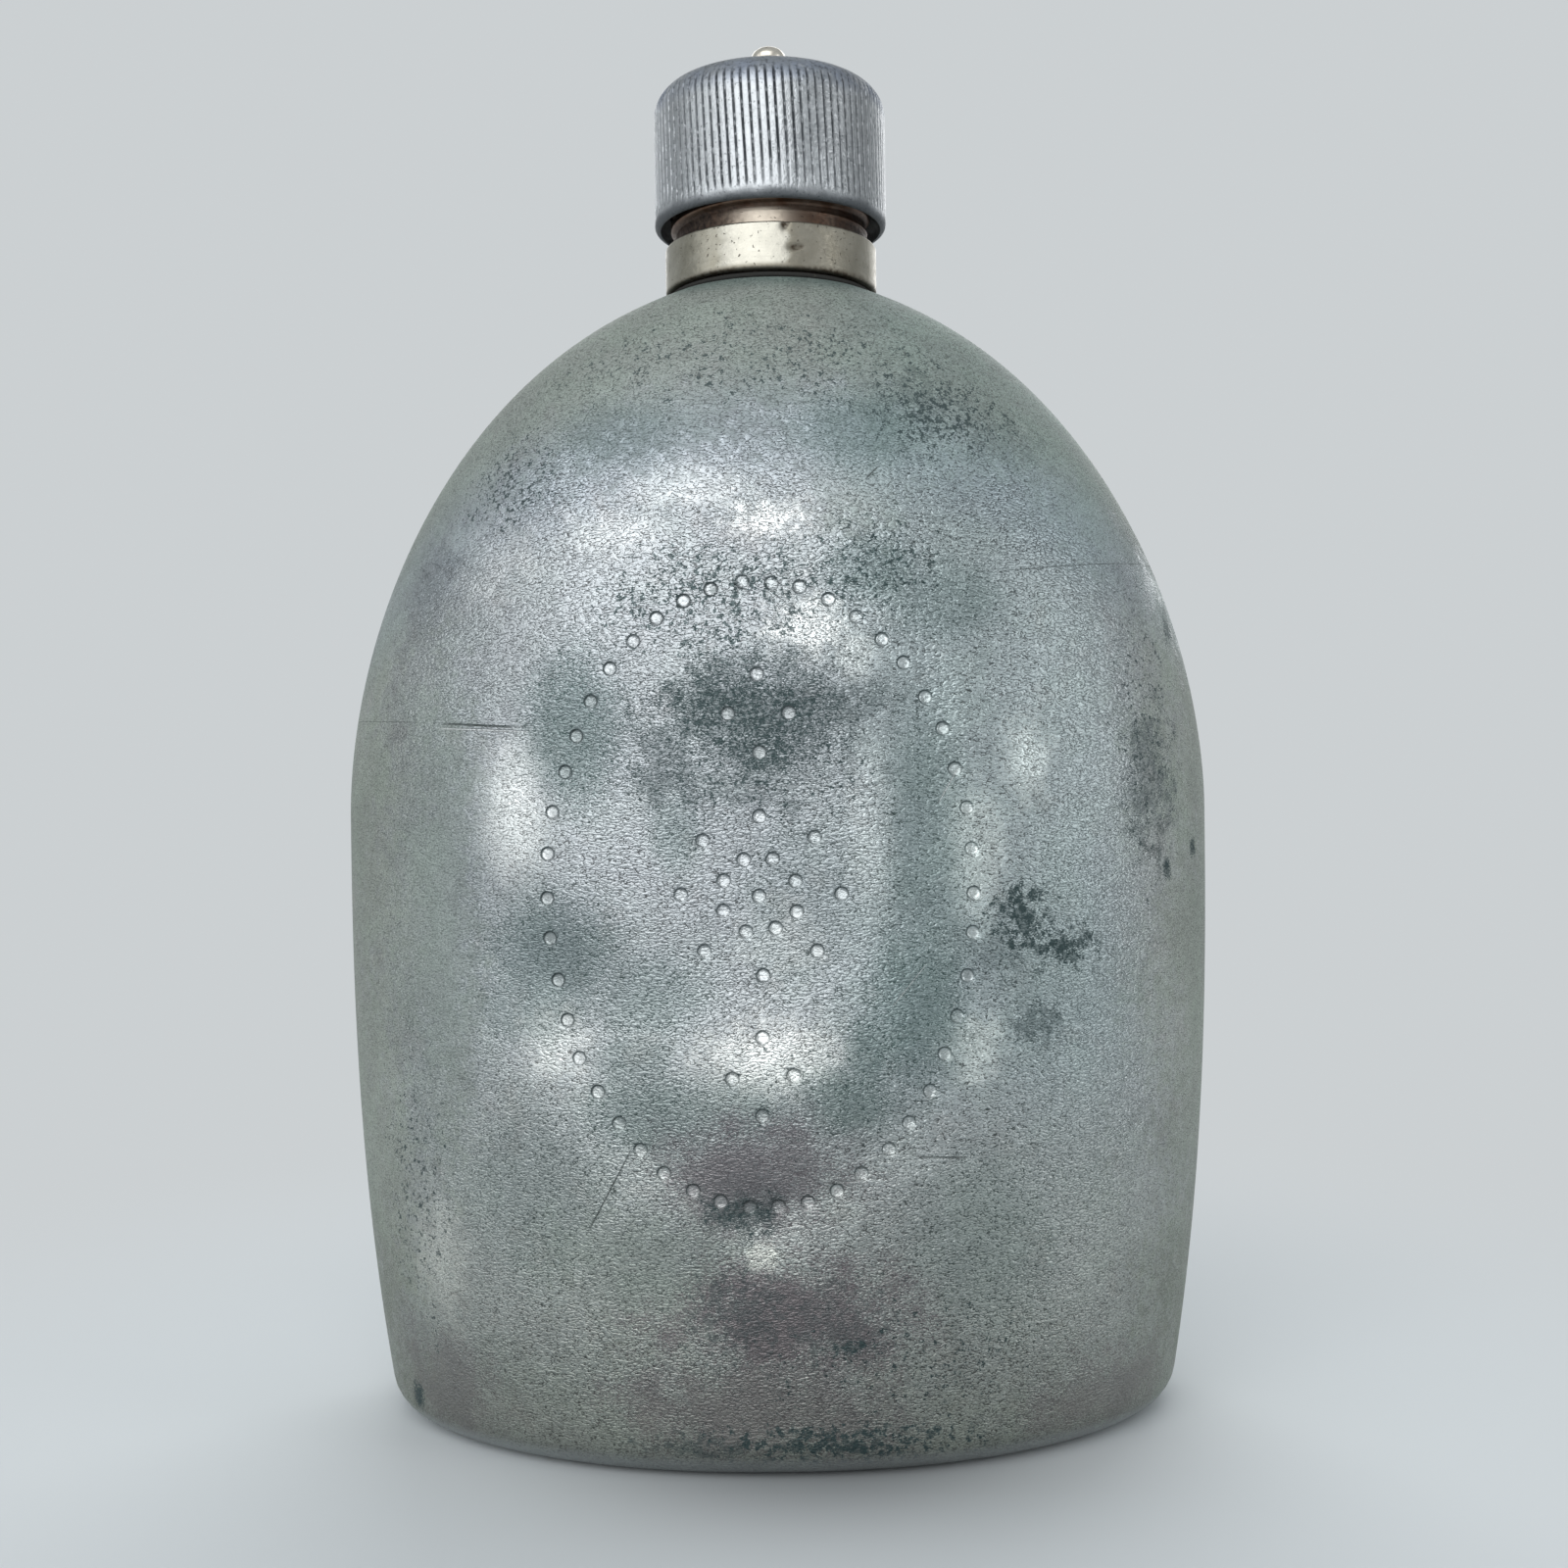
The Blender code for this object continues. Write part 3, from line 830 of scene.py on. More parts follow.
@dataclass(frozen=True)
class BodyFinish:
    """Dull drawn aluminium with a pebbled grain: bright on the worn front, filmed elsewhere.

    A span is where a layer comes in, in metres: on the height, on the distance from the middle,
    on the depth along Y, or on the arch, which is the height plus six times x squared.
    """

    bright: Colour = (0.402, 0.429, 0.449)
    dull: Colour = (0.268, 0.298, 0.282)
    stain: Colour = (0.036, 0.060, 0.062)
    brown: Colour = (0.170, 0.154, 0.174)
    speck: Colour = (0.08, 0.095, 0.092)
    worn_and_highlight: Colour = (0.70, 0.72, 0.72)
    green: Colour = (0.228, 0.285, 0.248)
    shade: Colour = (0.048, 0.104, 0.098)
    warm: Colour = (0.315, 0.29, 0.285)
    cool_reflection: Colour = (0.29, 0.345, 0.405)
    even: Colour = (1.0, 1.0, 1.0)
    olive: Colour = (1.01, 1.0, 0.90)
    teal: Colour = (0.94, 1.0, 0.98)
    film_arch: Span = (0.146, 0.162)
    film_side: Span = (0.050, 0.066)
    film_depth: Span = (-0.012, 0.012)
    film_foot: Span = (0.022, 0.002)
    crease_side: Span = (0.030, 0.052)
    foot_dark: Span = (0.0, 0.055)
    foot_edge: Span = (0.0045, 0.002)
    seat_shade: Span = (0.1765, 0.1795)
    cool_low: Span = (0.140, 0.152)
    cool_high: Span = (0.166, 0.154)
    olive_foot: Span = (0.090, 0.0)
    olive_arch: Span = (0.158, 0.176)
    olive_side: Span = (0.044, 0.064)
    teal_from: Span = (0.004, 0.020)
    teal_side: Span = (0.058, 0.044)
    teal_height: Span = (0.045, 0.070)
    grain_scale: float = 930.0
    grain_depth: float = 0.14 * MM
    gloss_rough: float = 0.30
    film_rough: float = 0.62
    film_metal: float = 0.45

    def material(self, effects: Effects) -> Material:
        """Makes the material from the bare metal up.

        Args:
            effects: The shared node groups.

        Returns:
            The finished material.
        """
        coat = BodyCoat(self, effects)
        coat.add_metal()
        coat.add_tones()
        coat.add_specks()
        dirt = coat.add_dirt_and_shade()
        groove = coat.add_scratches()
        rough = coat.ramp(coat.film, 0.0, 1.0, self.gloss_rough, self.film_rough)
        rough = coat.scaled(dirt, 0.1, coat.scaled(coat.close, 0.07, rough))
        rough = coat.scaled(coat.most(coat.dot, coat.rubbed), -0.05, rough)
        metal = coat.ramp(coat.film, 0.0, 1.0, 1.0, self.film_metal)
        metal = coat.times(metal, coat.scaled(dirt, -0.35, 1.0))
        flat = coat.scaled(coat.dot, -0.7, 1.0)
        coarse = coat.scaled(coat.rubbed, -0.35, coat.scaled(coat.film, -0.28, 1.0))
        height = coat.times(coat.lands, coat.times(flat, coarse))
        return coat.finish(rough, coat.scaled(groove, -0.9, height), self.grain_depth, metal)


class BodyCoat(FinishSheet):
    """Layers of the body's finish, with the masks that several of them read."""

    def __init__(self, look: BodyFinish, effects: Effects) -> None:
        """Starts with the bright metal and makes the shared masks.

        Args:
            look: Colours, spans and sizes of the finish.
            effects: The shared node groups.
        """
        super().__init__("pebbled_aluminium", look.bright)
        self.look = look
        self.effects = effects
        self.x, self.y, self.z = self.put("SeparateXYZ", {"Vector": self.place}).outputs
        self.lands, crease, self.fine = self.effect(effects.grain, Scale=look.grain_scale)
        self.film = self._film()
        self.broad = self.effect(effects.tone, Scale=55.0, Low=0.32, High=0.68)[0]
        self.close = self.effect(effects.tone, Scale=330.0, Low=0.35, High=0.65)[0]
        self.dot = self.mask("dot")
        # Mask of the bright areas: worn metal with painted highlights.
        self.rubbed = self._patches(BRIGHTS, self.fine)
        self.crease = self.times(crease, self.math("SUBTRACT", 1.0, self.dot))
        self.across = self.math("ABSOLUTE", self.x)
        self.arch = self.scaled(self.times(self.x, self.x), 6.0, self.z)

    def _film(self) -> Socket:
        """Mask of the dull oxide film: the shoulder, the flanks and the back, with a cloudy edge.

        Returns:
            Socket from 0 on the worn front to 1 in the full film.
        """
        look = self.look
        clouds = self.effect(self.effects.tone, Scale=75.0, Low=0.25, High=0.75)[0]
        fine = self.noise(self.place, 500.0, 3.0, 0.7)
        ragged = self.math("SUBTRACT", fine, 0.5)
        shift = self.scaled(ragged, 0.03, self.scaled(clouds, 0.010, -0.005))
        height = self.math("ADD", self.z, shift)
        arch = self.times(self.x, self.x, 6.0)
        shoulder = self.ramp(self.math("ADD", height, arch), *look.film_arch)
        side = self.math("ADD", self.math("ABSOLUTE", self.x), shift)
        flank = self.times(self.ramp(side, *look.film_side), 0.85)
        back = self.times(self.ramp(self.y, *look.film_depth), 0.8)
        foot = self.times(self.ramp(height, *look.film_foot), 0.5)
        film = self.most(self.most(shoulder, flank), self.most(back, foot))
        film = self.most(film, self._patches(DULLS, fine))
        return self.scaled(clouds, 0.08, self.times(film, 0.92))

    def _patches(self, patches: tuple[Patch, ...], grain: Socket) -> Socket:
        """Mask of several patches: the strongest of them at each place.

        Args:
            patches: Places, sizes and amounts.
            grain: Fine noise that grains the patches' edges.

        Returns:
            Socket from 0 to a patch's amount.
        """
        mask: object = 0.0
        for patch in patches:
            spot = self.effect(self.effects.patch, Grain=grain, **patch.inputs())[0]
            mask = self.most(mask, self.times(spot, patch.amount))
        return mask

    def add_metal(self) -> None:
        """The metal: dull under the film, bright where worn and where highlights are painted, with soft hues,
        a painted bluish reflection on the shoulder, dark creases, and darker towards the foot.
        """
        look = self.look
        self.cover(look.dull, self.film)
        self.cover(look.worn_and_highlight, self.rubbed)
        level = self.scaled(self.broad, 0.16, self.scaled(self.close, 0.12, 0.86))
        darker = self.scaled(self.film, 0.30, -0.80)
        darker = self.times(darker, self.ramp(self.across, *look.crease_side, 1.0, 0.6))
        level = self.times(level, self.scaled(self.crease, darker, 1.0))
        level = self.times(level, self.scaled(self.fine, 1.7, 0.25))
        level = self.times(level, self.ramp(self.z, *look.foot_dark, 0.70, 1.0))
        green = self.effect(self.effects.tone, Scale=110.0, Low=0.42, High=0.62)[0]
        self.cover(look.green, self.times(green, self.scaled(self.film, 0.12, 0.13)))
        warm = self.effect(self.effects.tone, Scale=150.0, Low=0.46, High=0.30)[0]
        self.cover(look.warm, self.times(warm, self.scaled(self.film, -0.1, 0.2)))
        # Painted reflection: a bluish band across the shoulder.
        cool_reflection = self.times(self.ramp(self.arch, *look.cool_low), self.ramp(self.arch, *look.cool_high))
        self.cover(look.cool_reflection, self.times(cool_reflection, 0.35))
        self.dim(level)

    def add_tones(self) -> None:
        """Painted tones: mirrored darks and brown areas, then a slow change of hue over the body."""
        look = self.look
        self.cover(look.shade, self._patches(SHADES, self.fine))
        self.cover(look.brown, self._patches(BROWNS, self.fine))
        olive = self.ramp(self.z, *look.olive_foot)
        olive = self.most(olive, self.ramp(self.arch, *look.olive_arch, 0.0, 0.35))
        olive = self.most(olive, self.ramp(self.across, *look.olive_side, 0.0, 0.6))
        balance = self.tint(look.even, look.olive, olive)
        teal = self.times(self.ramp(self.x, *look.teal_from), self.ramp(self.z, *look.teal_height))
        teal = self.times(teal, self.ramp(self.across, *look.teal_side))
        self.colour = self.vector("MULTIPLY", self.colour, self.tint(balance, look.teal, teal))

    def add_specks(self) -> None:
        """Small specks all over, and thicker dark ones in the peppered areas."""
        share = self.scaled(self.film, 0.26, self.times(self.close, 0.14))
        specks = self.effect(self.effects.specks, Scale=1900.0, Share=share)[0]
        self.cover(self.look.speck, self.times(specks, 0.62))
        share = self._patches(PEPPERS, self.fine)
        pepper = self.effect(self.effects.specks, Scale=1150.0, Share=share)[0]
        pepper = self.times(pepper, self.ramp(share, 0.02, 0.2))
        self.cover(self.look.stain, self.times(pepper, 0.85))

    def add_dirt_and_shade(self) -> Socket:
        """Mottled stains and the dots' dark rims, painted as shade in their walls, then bright dot floors,
        bright foot and painted shade under the band.

        Returns:
            Mask of the stains and of the painted shade of the rims.
        """
        look = self.look
        dirt = self._patches(STAINS, self.fine)
        mottle = self.ramp(self.noise(self.place, 1300.0, 3.0, 0.75), 0.42, 0.56)
        mottle = self.scaled(mottle, 0.5, self.scaled(self.crease, 0.3, 0.73))
        dirt = self.times(dirt, mottle)
        dirt = self.times(dirt, self.scaled(self.dot, -0.5, 1.0))
        # The dots' rims: painted shade in their walls.
        dirt = self.clamp(self.most(dirt, self.mask("rim")))
        self.cover(look.stain, dirt)
        self.cover(look.worn_and_highlight, self.times(self.dot, 0.22))
        self.cover(look.bright, self.times(self.ramp(self.z, *look.foot_edge), 0.5))
        # Painted shade on the body just under the neck band.
        self.cover(look.shade, self.ramp(self.z, *look.seat_shade, 0.0, 0.5))
        return dirt

    def add_scratches(self) -> Socket:
        """Scratches, dark with dirt or bright.

        Returns:
            Mask of all scratches.
        """
        groove: object = 0.0
        for scratch in SCRATCHES:
            line = self.effect(self.effects.scratch, **scratch.inputs())[0]
            groove = self.most(groove, line)
            colour = self.look.worn_and_highlight if scratch.light else self.look.speck
            self.cover(colour, self.times(line, scratch.tone))
        return groove


@dataclass(frozen=True)
class CapFinish:
    """Cool satin aluminium of the cap, with dirt in its flutes, a bluish dull top, a painted bluish
    reflection around its upper edge, and painted shade along the lip and on its right side.

    A span is a height in metres at which a layer comes in.
    """

    bright: Colour = (0.51, 0.535, 0.555)
    dull: Colour = (0.275, 0.295, 0.305)
    blue_reflection: Colour = (0.25, 0.31, 0.46)
    dirt: Colour = (0.035, 0.042, 0.05)
    film_top: Span = (0.2105, 0.2135)
    halo_low: Span = (0.2085, 0.2112)
    halo_high: Span = (0.2150, 0.2120)
    lip_shade: Span = (0.1942, 0.1924)
    shaded_side: Patch = Patch((16.0, -12.0, 201.0), (12.0, 16.0, 22.0), -0.28, 0.06, 200.0)
    grain_depth: float = 0.06 * MM

    def material(self, effects: Effects) -> Material:
        """Makes the material.

        Args:
            effects: The shared node groups.

        Returns:
            The finished material.
        """
        sheet = FinishSheet("cap_aluminium", self.bright)
        height = sheet.put("SeparateXYZ", {"Vector": sheet.place}).outputs["Z"]
        tone = sheet.effect(effects.tone, Scale=170.0, Low=0.3, High=0.7)[0]
        fine = sheet.effect(effects.tone, Scale=900.0, Low=0.3, High=0.7)[0]
        grain = sheet.effect(effects.grain, Scale=1300.0, Stretch=(1.0, 1.0, 0.8))[0]
        top = sheet.ramp(sheet.scaled(tone, 0.002, height), *self.film_top)
        film = sheet.most(top, sheet.times(sheet.mask("inside"), 0.8))
        sheet.cover(self.dull, film)
        # Painted bluish reflection in a band around the upper edge.
        halo = sheet.times(sheet.ramp(height, *self.halo_low), sheet.ramp(height, *self.halo_high))
        sheet.cover(self.blue_reflection, sheet.times(halo, sheet.scaled(tone, 0.35, 0.1)))
        sheet.dim(sheet.scaled(tone, 0.12, sheet.scaled(fine, 0.16, 0.76)))
        # Painted shade on the right side of the cap.
        side = sheet.effect(effects.patch, **self.shaded_side.inputs())[0]
        sheet.dim(sheet.scaled(side, self.shaded_side.amount, 1.0))
        streaks = sheet.effect(effects.lines, Scale=2600.0, Squeeze=(0.05, 1.0, 0.3))[0]
        streaks = sheet.times(sheet.ramp(streaks, 0.60, 0.70), sheet.times(top, 0.35))
        sheet.cover(self.bright, streaks)
        specks = sheet.effect(effects.specks, Scale=1900.0, Share=sheet.scaled(top, 0.16, 0.42))[0]
        sheet.cover(self.dirt, sheet.times(specks, 0.55))
        broken = sheet.ramp(sheet.noise(sheet.place, 1100.0, 2.0, 0.6), 0.36, 0.50, 0.45, 1.1)
        dirt = sheet.times(sheet.mask("groove"), sheet.times(broken, 0.95))
        # Painted shade along the lower edge of the lip, joined with the dirt of the flutes.
        lip = sheet.ramp(sheet.scaled(tone, 0.0008, height), *self.lip_shade)
        dirt = sheet.clamp(sheet.most(dirt, sheet.times(lip, 0.78)))
        sheet.cover(self.dirt, dirt)
        rough = sheet.scaled(film, 0.26, sheet.scaled(fine, 0.10, 0.30))
        rough = sheet.scaled(dirt, 0.3, rough)
        metal = sheet.scaled(film, -0.35, sheet.scaled(dirt, -0.5, 1.0))
        return sheet.finish(rough, grain, self.grain_depth, metal)


@dataclass(frozen=True)
class PlateFinish:
    """Worn plating on a turned piece, with brown tarnish where the edge mask says so; the worn colour also
    paints highlights, and on the band the edge mask also holds painted shade.
    """

    name: str
    plate: Colour
    worn: Colour
    tarnish: Colour
    rough: float
    cover: float
    line_depth: float = 0.012 * MM

    def material(self, effects: Effects) -> Material:
        """Makes the material.

        Args:
            effects: The shared node groups.

        Returns:
            The finished material.
        """
        sheet = FinishSheet(self.name, self.plate)
        broad = sheet.effect(effects.tone, Scale=260.0, Low=0.3, High=0.7)[0]
        fine = sheet.effect(effects.tone, Scale=1300.0, Low=0.3, High=0.7)[0]
        lines = sheet.effect(effects.lines)[0]
        specks = sheet.effect(effects.specks, Scale=1400.0, Share=0.32)[0]
        # Worn plate, and painted highlights where the highlight mask is set.
        sheet.cover(self.worn, sheet.most(sheet.times(broad, self.cover), sheet.mask("rubbed")))
        sheet.dim(sheet.scaled(fine, 0.18, 0.84))
        dirt = sheet.times(sheet.mask("edge"), sheet.scaled(fine, 0.5, 0.6))
        dirt = sheet.most(dirt, sheet.times(specks, 0.75))
        sheet.cover(self.tarnish, sheet.clamp(dirt))
        rough = sheet.scaled(broad, 0.10, sheet.scaled(fine, 0.10, self.rough))
        rough = sheet.scaled(dirt, 0.25, rough)
        metal = sheet.scaled(dirt, -0.45, 1.0)
        height = sheet.scaled(fine, 0.6, sheet.scaled(specks, -1.5, lines))
        return sheet.finish(rough, height, self.line_depth, metal)


@dataclass(frozen=True)
class SoftFinish:
    """Matte soft piece, such as cork or old rubber: crumbs of two colours in a coarse grain."""

    name: str
    main: Colour
    crumb: Colour
    crumb_scale: float
    share: float
    rough: float
    depth: float

    def material(self, effects: Effects) -> Material:
        """Makes the material.

        Args:
            effects: The shared node groups.

        Returns:
            The finished material.
        """
        sheet = FinishSheet(self.name, self.main)
        crumbs = sheet.effect(effects.specks, Scale=self.crumb_scale, Share=self.share)[0]
        tone = sheet.effect(effects.tone, Scale=self.crumb_scale * 0.6)[0]
        grain = sheet.effect(effects.grain, Scale=self.crumb_scale * 1.5, Stretch=(1.0, 1.0, 1.0))[0]
        sheet.cover(self.crumb, crumbs)
        sheet.dim(sheet.scaled(tone, 0.4, 0.75))
        rough = sheet.scaled(tone, 0.1, self.rough)
        return sheet.finish(rough, sheet.math("SUBTRACT", grain, crumbs), self.depth)


@dataclass(frozen=True)
class Dent:
    """A soft dent: at (x, z) with reaches across and up, pushed in by depth, all in millimetres.

    A depth below 0 is a swelling.
    """

    x: float
    z: float
    across: float
    up: float
    depth: float
    side: Side = Side.FRONT


DENTS = (
    Dent(-1.0, 147.5, 9.0, 8.0, 0.8),
    Dent(-24.0, 146.0, 9.0, 8.5, 0.7),
    Dent(-20.0, 131.0, 9.0, 7.0, 0.4),
    Dent(4.0, 130.0, 12.0, 6.0, 0.4),
    Dent(1.0, 118.0, 13.0, 9.0, -0.9),
    Dent(0.0, 93.0, 15.0, 14.0, 0.9),
    Dent(-2.0, 75.0, 14.0, 8.5, 1.2),
    Dent(-2.0, 57.0, 13.0, 9.0, -1.0),
    Dent(-3.5, 38.8, 4.5, 4.2, 1.1),
    Dent(-35.0, 105.0, 9.0, 8.0, 1.2),
    Dent(-35.0, 88.0, 9.0, 8.0, -0.6),
    Dent(-32.0, 73.0, 9.0, 8.0, 1.3),
    Dent(-29.0, 55.0, 8.0, 9.0, -0.4),
    Dent(21.5, 101.0, 5.0, 22.0, 0.9),
    Dent(20.0, 66.0, 7.0, 9.0, -0.5),
    Dent(31.0, 97.0, 6.0, 8.0, 0.7),
    Dent(30.0, 72.0, 6.5, 7.0, 1.0),
    Dent(42.0, 108.0, 9.0, 9.0, 0.5),
    Dent(44.0, 60.0, 10.0, 14.0, -0.4),
    Dent(-48.0, 40.0, 13.0, 13.0, 0.5),
    Dent(20.0, 30.0, 15.0, 9.0, 0.4),
    Dent(-14.0, 30.0, 12.0, 7.0, 0.3),
    Dent(25.0, 120.0, 16.0, 14.0, 0.7, Side.BACK),
    Dent(-30.0, 70.0, 14.0, 20.0, 0.6, Side.BACK),
    Dent(5.0, 45.0, 18.0, 12.0, 0.5, Side.BACK),
    Dent(-10.0, 148.0, 14.0, 8.0, 0.5, Side.BACK),
)


# Rings of a punched dot: shares of its radius and depth, how far inside it is, and how dark its rim is
# painted as shade in the dot's wall.
DOT_RINGS = np.array([
    (1.10, 0.00, 0.0, 0.0),
    (1.03, 0.10, 0.0, 1.0),
    (0.90, 0.55, 0.5, 1.0),
    (0.76, 0.92, 1.0, 0.2),
    (0.45, 1.00, 1.0, 0.0),
])


@dataclass(frozen=True)
class DotPattern:
    """Ornament of punched dots: an oval border around a rosette, with a lozenge above and below."""

    centre: Span = (-2.5 * MM, 86.0 * MM)
    border: Span = (31.0 * MM, 45.0 * MM)
    border_dots: int = 46
    rosette_radii: Span = (5.6 * MM, 11.4 * MM)
    petals: int = 8
    lozenge_offset: float = 26.0 * MM
    lozenge_size: Span = (4.4 * MM, 5.6 * MM)
    reach: float = 3.0 * MM
    stray: float = 0.16 * MM

    def places(self) -> np.ndarray:
        """Places of the dots on the front.

        The border is an ellipse, (a cos t, b sin t), and the rosette two rings of it turned by
        half a petal against each other.

        Returns:
            Array of (x, z) pairs.
        """
        border = oval(*self.border, even_angles(self.border_dots))
        small, large = self.rosette_radii
        petals = even_angles(self.petals)
        inner = oval(small, small, petals + math.pi / self.petals)
        outer = oval(large, large, petals)
        lozenge = oval(*self.lozenge_size, even_angles(4))
        high = lozenge + (0.0, self.lozenge_offset)
        low = lozenge - (0.0, self.lozenge_offset)
        dots = np.concatenate([border, inner, outer, [[0.0, 0.0]], high, low])
        stray = np.random.default_rng(5).normal(0.0, self.stray, dots.shape)
        return dots + self.centre + stray


@dataclass
class BottleBody:
    """The drawn aluminium shell, kidney-shaped in section, with its neck tube and turned lip."""

    width: float = 141.4 * MM
    front_depth: float = 37.0 * MM
    back_depth: float = 26.0 * MM
    base_width: float = 127.6 * MM
    base_front_depth: float = 32.0 * MM
    base_back_depth: float = 23.5 * MM
    corner_radius: float = 6.0 * MM
    widest_height: float = 97.5 * MM
    shoulder_height: float = 179.7 * MM
    seat_radius: float = 17.6 * MM
    side_sweep: float = 10.0 * MM
    back_horn: float = 16.0 * MM
    wall: float = 1.2 * MM
    base_hollow: float = 0.5 * MM
    section_power: float = 2.4
    width_power: float = 1.84
    depth_power: float = 3.0
    taper_power: float = 2.5
    neck_radius: float = 14.2 * MM
    lip_radius: float = 15.2 * MM
    lip_top: float = 210.0 * MM
    floor_middle: float = 3.0 * MM
    floor_shares: tuple[float, ...] = (0.12, 0.3, 0.5, 0.68, 0.82, 0.93)
    dents_from: Span = (2.0 * MM, 14.0 * MM)
    dents_to: Span = (176.0 * MM, 160.0 * MM)
    columns: int = 264
    wall_rows: int = 64
    dome_rows: int = 84
    corner_rows: int = 8
    dot_radius: float = 1.05 * MM
    dot_depth: float = 0.34 * MM
    dot_dish: float = 0.2 * MM
    dish_reach: float = 4.2 * MM
    dot_tilt: float = 0.12
    dots: DotPattern = DotPattern()
    finish: BodyFinish = BodyFinish()

    def sizes(self, height: np.ndarray) -> tuple[np.ndarray, np.ndarray, np.ndarray, np.ndarray]:
        """Half width, front depth, back depth and fullness of the section at each height.

        Above the widest level each size is the root of seat squared plus what is left of the
        size squared. Below it each runs in to the base with a power of the drop.

        Args:
            height: Heights above the base.

        Returns:
            Four arrays like the heights.
        """
        rise = np.clip((height - self.widest_height) / (self.shoulder_height - self.widest_height), 0.0, 1.0)
        drop = np.clip(1.0 - height / self.widest_height, 0.0, 1.0) ** self.taper_power
        seat = self.seat_radius**2

        def swelled(size: float, base: float, power: float) -> np.ndarray:
            """One size at each height.

            Args:
                size: Its full value.
                base: Its value at the base.
                power: Power of the rise that draws it in to the seat.

            Returns:
                Array like the heights.
            """
            return np.sqrt(seat + (size**2 - seat) * (1.0 - rise**power)) + (base - size) * drop

        width = swelled(self.width / 2.0, self.base_width / 2.0, self.width_power)
        front = swelled(self.front_depth, self.base_front_depth, self.depth_power)
        back = swelled(self.back_depth, self.base_back_depth, self.depth_power)
        dome = (width - self.seat_radius) / (self.width / 2.0 - self.seat_radius)
        return width, front, back, np.where(height > self.widest_height, dome, 1.0)

    def section(
        self, width: np.ndarray, front: np.ndarray, back: np.ndarray, fullness: np.ndarray, angles: np.ndarray
    ) -> np.ndarray:
        """Kidney sections, one for each row.

        Across is a power of the cosine and through a power of the sine, as in a superellipse.
        Both halves sweep back by the square of across, and the back bulges beside its middle.

        Args:
            width: Half width of each row.
            front: Front depth of each row.
            back: Back depth of each row.
            fullness: From 0 for a circle to 1 for the full kidney.
            angles: Angle of each column.

        Returns:
            Array of rows by columns by (x, y, through).
        """
        width, front, back, fullness = (np.asarray(a, float)[:, None] for a in (width, front, back, fullness))
        power = 2.0 / (2.0 + (self.section_power - 2.0) * fullness)
        cosine, sine = np.cos(angles), np.sin(angles)
        across = np.sign(cosine) * np.abs(cosine) ** power
        through = np.abs(sine) ** power
        bend = (fullness * across) ** 2
        reach = np.where(sine > 0.0, through * (back + self.back_horn * bend), -through * front)
        return np.stack([width * across, self.side_sweep * bend + reach, through], axis=-1)

    def dent_depth(self, x: np.ndarray, z: np.ndarray, side: Side) -> np.ndarray:
        """Depth of all dents of one face: each is its depth times exp of minus distance squared.

        Args:
            x: Places across.
            z: Heights.
            side: Face of the body.

        Returns:
            Depths in metres, like x.
        """
        total = np.zeros(np.broadcast(x, z).shape)
        for dent in (d for d in DENTS if d.side is side):
            reach = ((x / MM - dent.x) / dent.across) ** 2 + ((z / MM - dent.z) / dent.up) ** 2
            total += dent.depth * MM * np.exp(-reach)
        if side is Side.FRONT:
            for dot_x, dot_z in self.dots.places():
                reach = ((x - dot_x) ** 2 + (z - dot_z) ** 2) / self.dish_reach**2
                total += self.dot_dish * np.exp(-reach)
        return total

    def column_angles(self) -> np.ndarray:
        """Column angles that part the widest section evenly along its own length.

        Returns:
            Angles in radians from the front on.
        """
        fine = np.linspace(-QUARTER, 1.5 * math.pi, 40001)
        points = self.section(*self.sizes(np.array([self.widest_height])), fine)
        steps = np.linalg.norm(np.diff(points[0, :, :2], axis=0), axis=1)
        run = np.concatenate([[0.0], np.cumsum(steps)])
        return np.interp(np.arange(self.columns) * run[-1] / self.columns, run, fine)

    def outer_grid(self, height: np.ndarray, inset: np.ndarray, angles: np.ndarray) -> np.ndarray:
        """Points of the outer face with its dents.

        Args:
            height: Height of each row.
            inset: What each row is drawn in by at the base corner.
            angles: Angle of each column.

        Returns:
            Array of rows by columns by 3.
        """
        width, front, back, fullness = self.sizes(height)
        flat = self.section(width - inset, front - inset, back - inset, fullness, angles)
        x, y, through = flat[..., 0], flat[..., 1], flat[..., 2]
        z = np.broadcast_to(height[:, None], x.shape)
        hold = ease(z, *self.dents_from) * ease(z, *self.dents_to) * through**1.5
        front_dents = self.dent_depth(x, z, Side.FRONT)
        back_dents = -self.dent_depth(x, z, Side.BACK)
        y = y + np.where(np.sin(angles) > 0.0, back_dents, front_dents) * hold
        return np.stack([x, y, z], axis=-1)

    def front_point(self, x: np.ndarray, z: np.ndarray, depth: np.ndarray | float) -> np.ndarray:
        """Points of the front face at given places, set in by a depth along Y.

        Args:
            x: Places across.
            z: Heights.
            depth: Depths below the face.

        Returns:
            Array of points like x, with 3 coordinates each.
        """
        width, front, _, fullness = self.sizes(z)
        power = 2.0 + (self.section_power - 2.0) * fullness
        across = np.abs(x) / width
        through = (1.0 - across**power) ** (1.0 / power)
        y = self.side_sweep * (fullness * across) ** 2 - through * front
        y = y + self.dent_depth(x, z, Side.FRONT) * through**1.5 + depth
        return np.stack([x, y, z], axis=-1)

